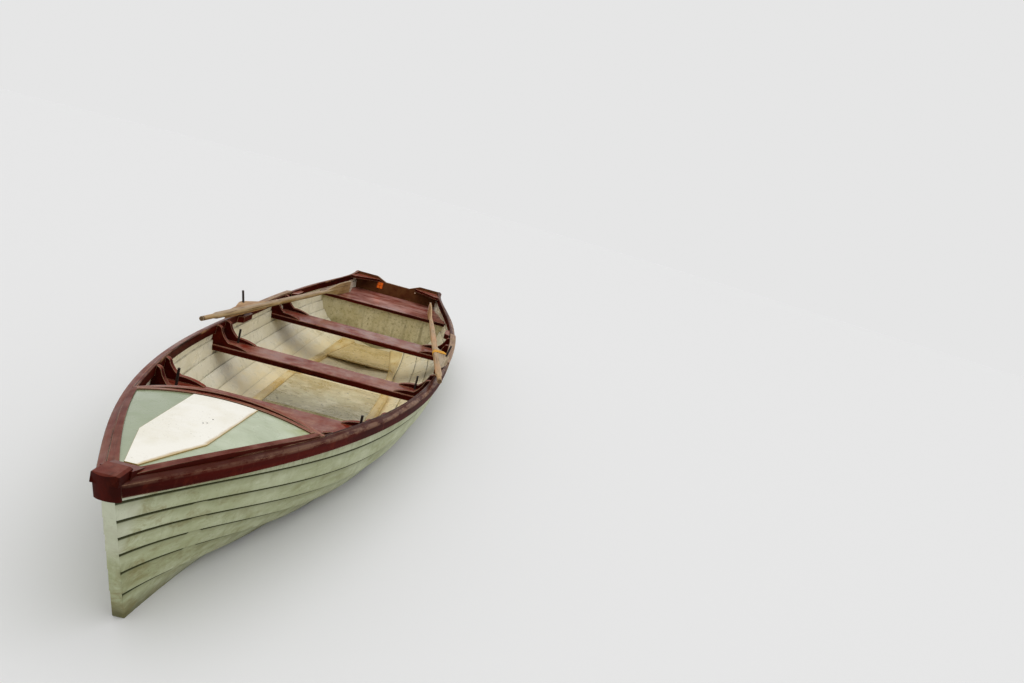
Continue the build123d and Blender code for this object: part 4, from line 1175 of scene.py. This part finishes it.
class BOAT_OT_stage(Operator):
    """Set the floor at the waterline, the soft light and the camera"""
    bl_idname = "boat.stage"
    bl_label = "Stage"

    def execute(self, context):
        stage = context.scene.boat_stage
        floor = bmesh.new()
        rim = [floor.verts.new((along, out, 0.0)) for along, out in self.waterline()]
        edges = [floor.edges.new((rim[i - 1], rim[i])) for i in range(len(rim))]
        third_reach, widening = 20.0, 1.3
        for growth in (1.25, 2.0, 3.0, stage.floor_reach / third_reach):
            made = bmesh.ops.extrude_edge_only(floor, edges=edges)["geom"]
            grown = [item for item in made if isinstance(item, bmesh.types.BMVert)]
            bmesh.ops.scale(floor, vec=(growth, growth * widening, 1.0), verts=grown)
            edges = [item for item in made if isinstance(item, bmesh.types.BMEdge)
                     and item.verts[0] in grown and item.verts[1] in grown]
        bmesh.ops.recalc_face_normals(floor, faces=floor.faces)
        if sum(face.normal.z for face in floor.faces) < 0:
            bmesh.ops.reverse_faces(floor, faces=floor.faces)
        mesh = bpy.data.meshes.new("studio_floor")
        floor.to_mesh(mesh)
        floor.free()
        mesh.materials.append(self.floor_finish(stage.floor_tone))
        piece = bpy.data.objects.new("studio_floor", mesh)
        context.scene.collection.objects.link(piece)
        self.light(context, stage)
        self.camera(context)
        context.scene.view_settings.view_transform = "Standard"
        return {"FINISHED"}

    def waterline(self):
        """The hull's outline at the water, just inside its skin, as a loop of points along and across."""
        inset, spacing, least, lift = 0.004, 0.08, 0.002, 0.0002
        cut = merged_copy("hull")
        bmesh.ops.bisect_plane(cut, geom=[*cut.verts, *cut.edges, *cut.faces], plane_co=(0, 0, lift),
                               plane_no=(0, 0, 1), clear_inner=True, clear_outer=True)
        lines = [(edge.verts[0].co.copy(), edge.verts[1].co.copy()) for edge in cut.edges]
        cut.free()
        aft = min(point.x for lap_dirt_and_shade in lines for point in lap_dirt_and_shade) + inset
        fore = max(point.x for lap_dirt_and_shade in lines for point in lap_dirt_and_shade) - inset
        steps = math.ceil((fore - aft) / spacing)
        side = []
        for step in range(steps + 1):
            along = aft + (fore - aft) * step / steps
            outs = [least + inset]
            for near, far in lines:
                if min(near.x, far.x) <= along <= max(near.x, far.x) and near.x != far.x:
                    share = (along - near.x) / (far.x - near.x)
                    outs.append(abs(near.y + (far.y - near.y) * share))
            side.append((along, max(outs) - inset))
        return side + [(along, -out) for along, out in reversed(side)]

    def floor_finish(self, tone):
        """A plain pale matt floor that takes the boat's shadow, coloured against the light's tint."""
        material, _, shader = start_finish("studio_floor", Roughness=0.9, Specular_IOR_Level=0.1)
        untinted = [tone * LIGHT_TINT[2] / part for part in LIGHT_TINT[:3]]
        shader.inputs["Base Color"].default_value = (*untinted, 1.0)
        return material

    def light(self, context, stage):
        """An even sky and one wide soft light, alike over the whole floor."""
        world = bpy.data.worlds.new("soft_sky")
        world.use_nodes = True
        context.scene.world = world
        world.node_tree.nodes.clear()
        maker = Maker(world.node_tree)
        rays = maker.node("ShaderNodeLightPath").outputs
        seen = maker.sum("MAXIMUM", rays["Is Camera Ray"],
                         maker.sum("MAXIMUM", rays["Is Glossy Ray"], rays["Is Transmission Ray"]))
        even = maker.node("ShaderNodeBackground", {"Color": LIGHT_TINT, "Strength": stage.sky})
        shown = maker.node("ShaderNodeBackground", {"Color": BACKDROP, "Strength": 1.0})
        both = maker.node("ShaderNodeMixShader", {0: seen, 1: even.outputs[0], 2: shown.outputs[0]})
        maker.node("ShaderNodeOutputWorld", {"Surface": both.outputs[0]})
        lamp = bpy.data.lights.new("overhead_light", "SUN")
        lamp.angle = stage.lamp_spread
        lamp.energy = stage.lamp
        lamp.color = LIGHT_TINT[:3]
        holder = bpy.data.objects.new("overhead_light", lamp)
        holder.location = LAMP_PLACE
        holder.rotation_mode = "QUATERNION"
        holder.rotation_quaternion = (LAMP_PLACE - LAMP_AIM).to_track_quat("Z", "Y")
        context.scene.collection.objects.link(holder)

    def camera(self, context):
        """The photograph's viewpoint."""
        data = bpy.data.cameras.new("bank_view")
        data.sensor_width = CAMERA_SENSOR
        data.lens = CAMERA_LENS
        data.clip_end = 500.0
        holder = bpy.data.objects.new("bank_view", data)
        holder.location = CAMERA_PLACE
        holder.rotation_euler = CAMERA_TURN
        context.scene.collection.objects.link(holder)
        context.scene.camera = holder


class BOAT_PT_panel(Panel):
    """The boat's pieces and their settings"""
    bl_idname = "BOAT_PT_panel"
    bl_label = "Rowing Boat"
    bl_space_type = "VIEW_3D"
    bl_region_type = "UI"
    bl_category = "Rowing Boat"

    def draw(self, context):
        layout = self.layout
        for group, _ in GROUPS:
            settings = getattr(context.scene, group)
            box = layout.box()
            for key in settings.__annotations__:
                box.prop(settings, key)
        for step in STEPS:
            layout.operator(step.bl_idname)


STEPS = (BOAT_OT_effects, BOAT_OT_stage, BOAT_OT_hull, BOAT_OT_gunwale, BOAT_OT_foredeck, BOAT_OT_seats,
         BOAT_OT_transom, BOAT_OT_floor, BOAT_OT_tholes, BOAT_OT_oars)
GROUPS = (
    ("boat_gelcoat", BOAT_PG_gelcoat),
    ("boat_timber", BOAT_PG_timber),
    ("boat_fittings", BOAT_PG_fittings),
    ("boat_stage", BOAT_PG_stage),
)


def register():
    """Make the classes and the settings known to Blender."""
    for _, group in GROUPS:
        bpy.utils.register_class(group)
    for step in (*STEPS, BOAT_PT_panel):
        bpy.utils.register_class(step)
    for name, group in GROUPS:
        setattr(bpy.types.Scene, name, PointerProperty(type=group))


def unregister():
    """Undo register."""
    for name, _ in GROUPS:
        delattr(bpy.types.Scene, name)
    for step in reversed((*STEPS, BOAT_PT_panel)):
        bpy.utils.unregister_class(step)
    for _, group in reversed(GROUPS):
        bpy.utils.unregister_class(group)


def main():
    """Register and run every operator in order."""
    register()
    for step in STEPS:
        family, action = step.bl_idname.split(".")
        getattr(getattr(bpy.ops, family), action)()


if __name__ == "__main__":
    main()
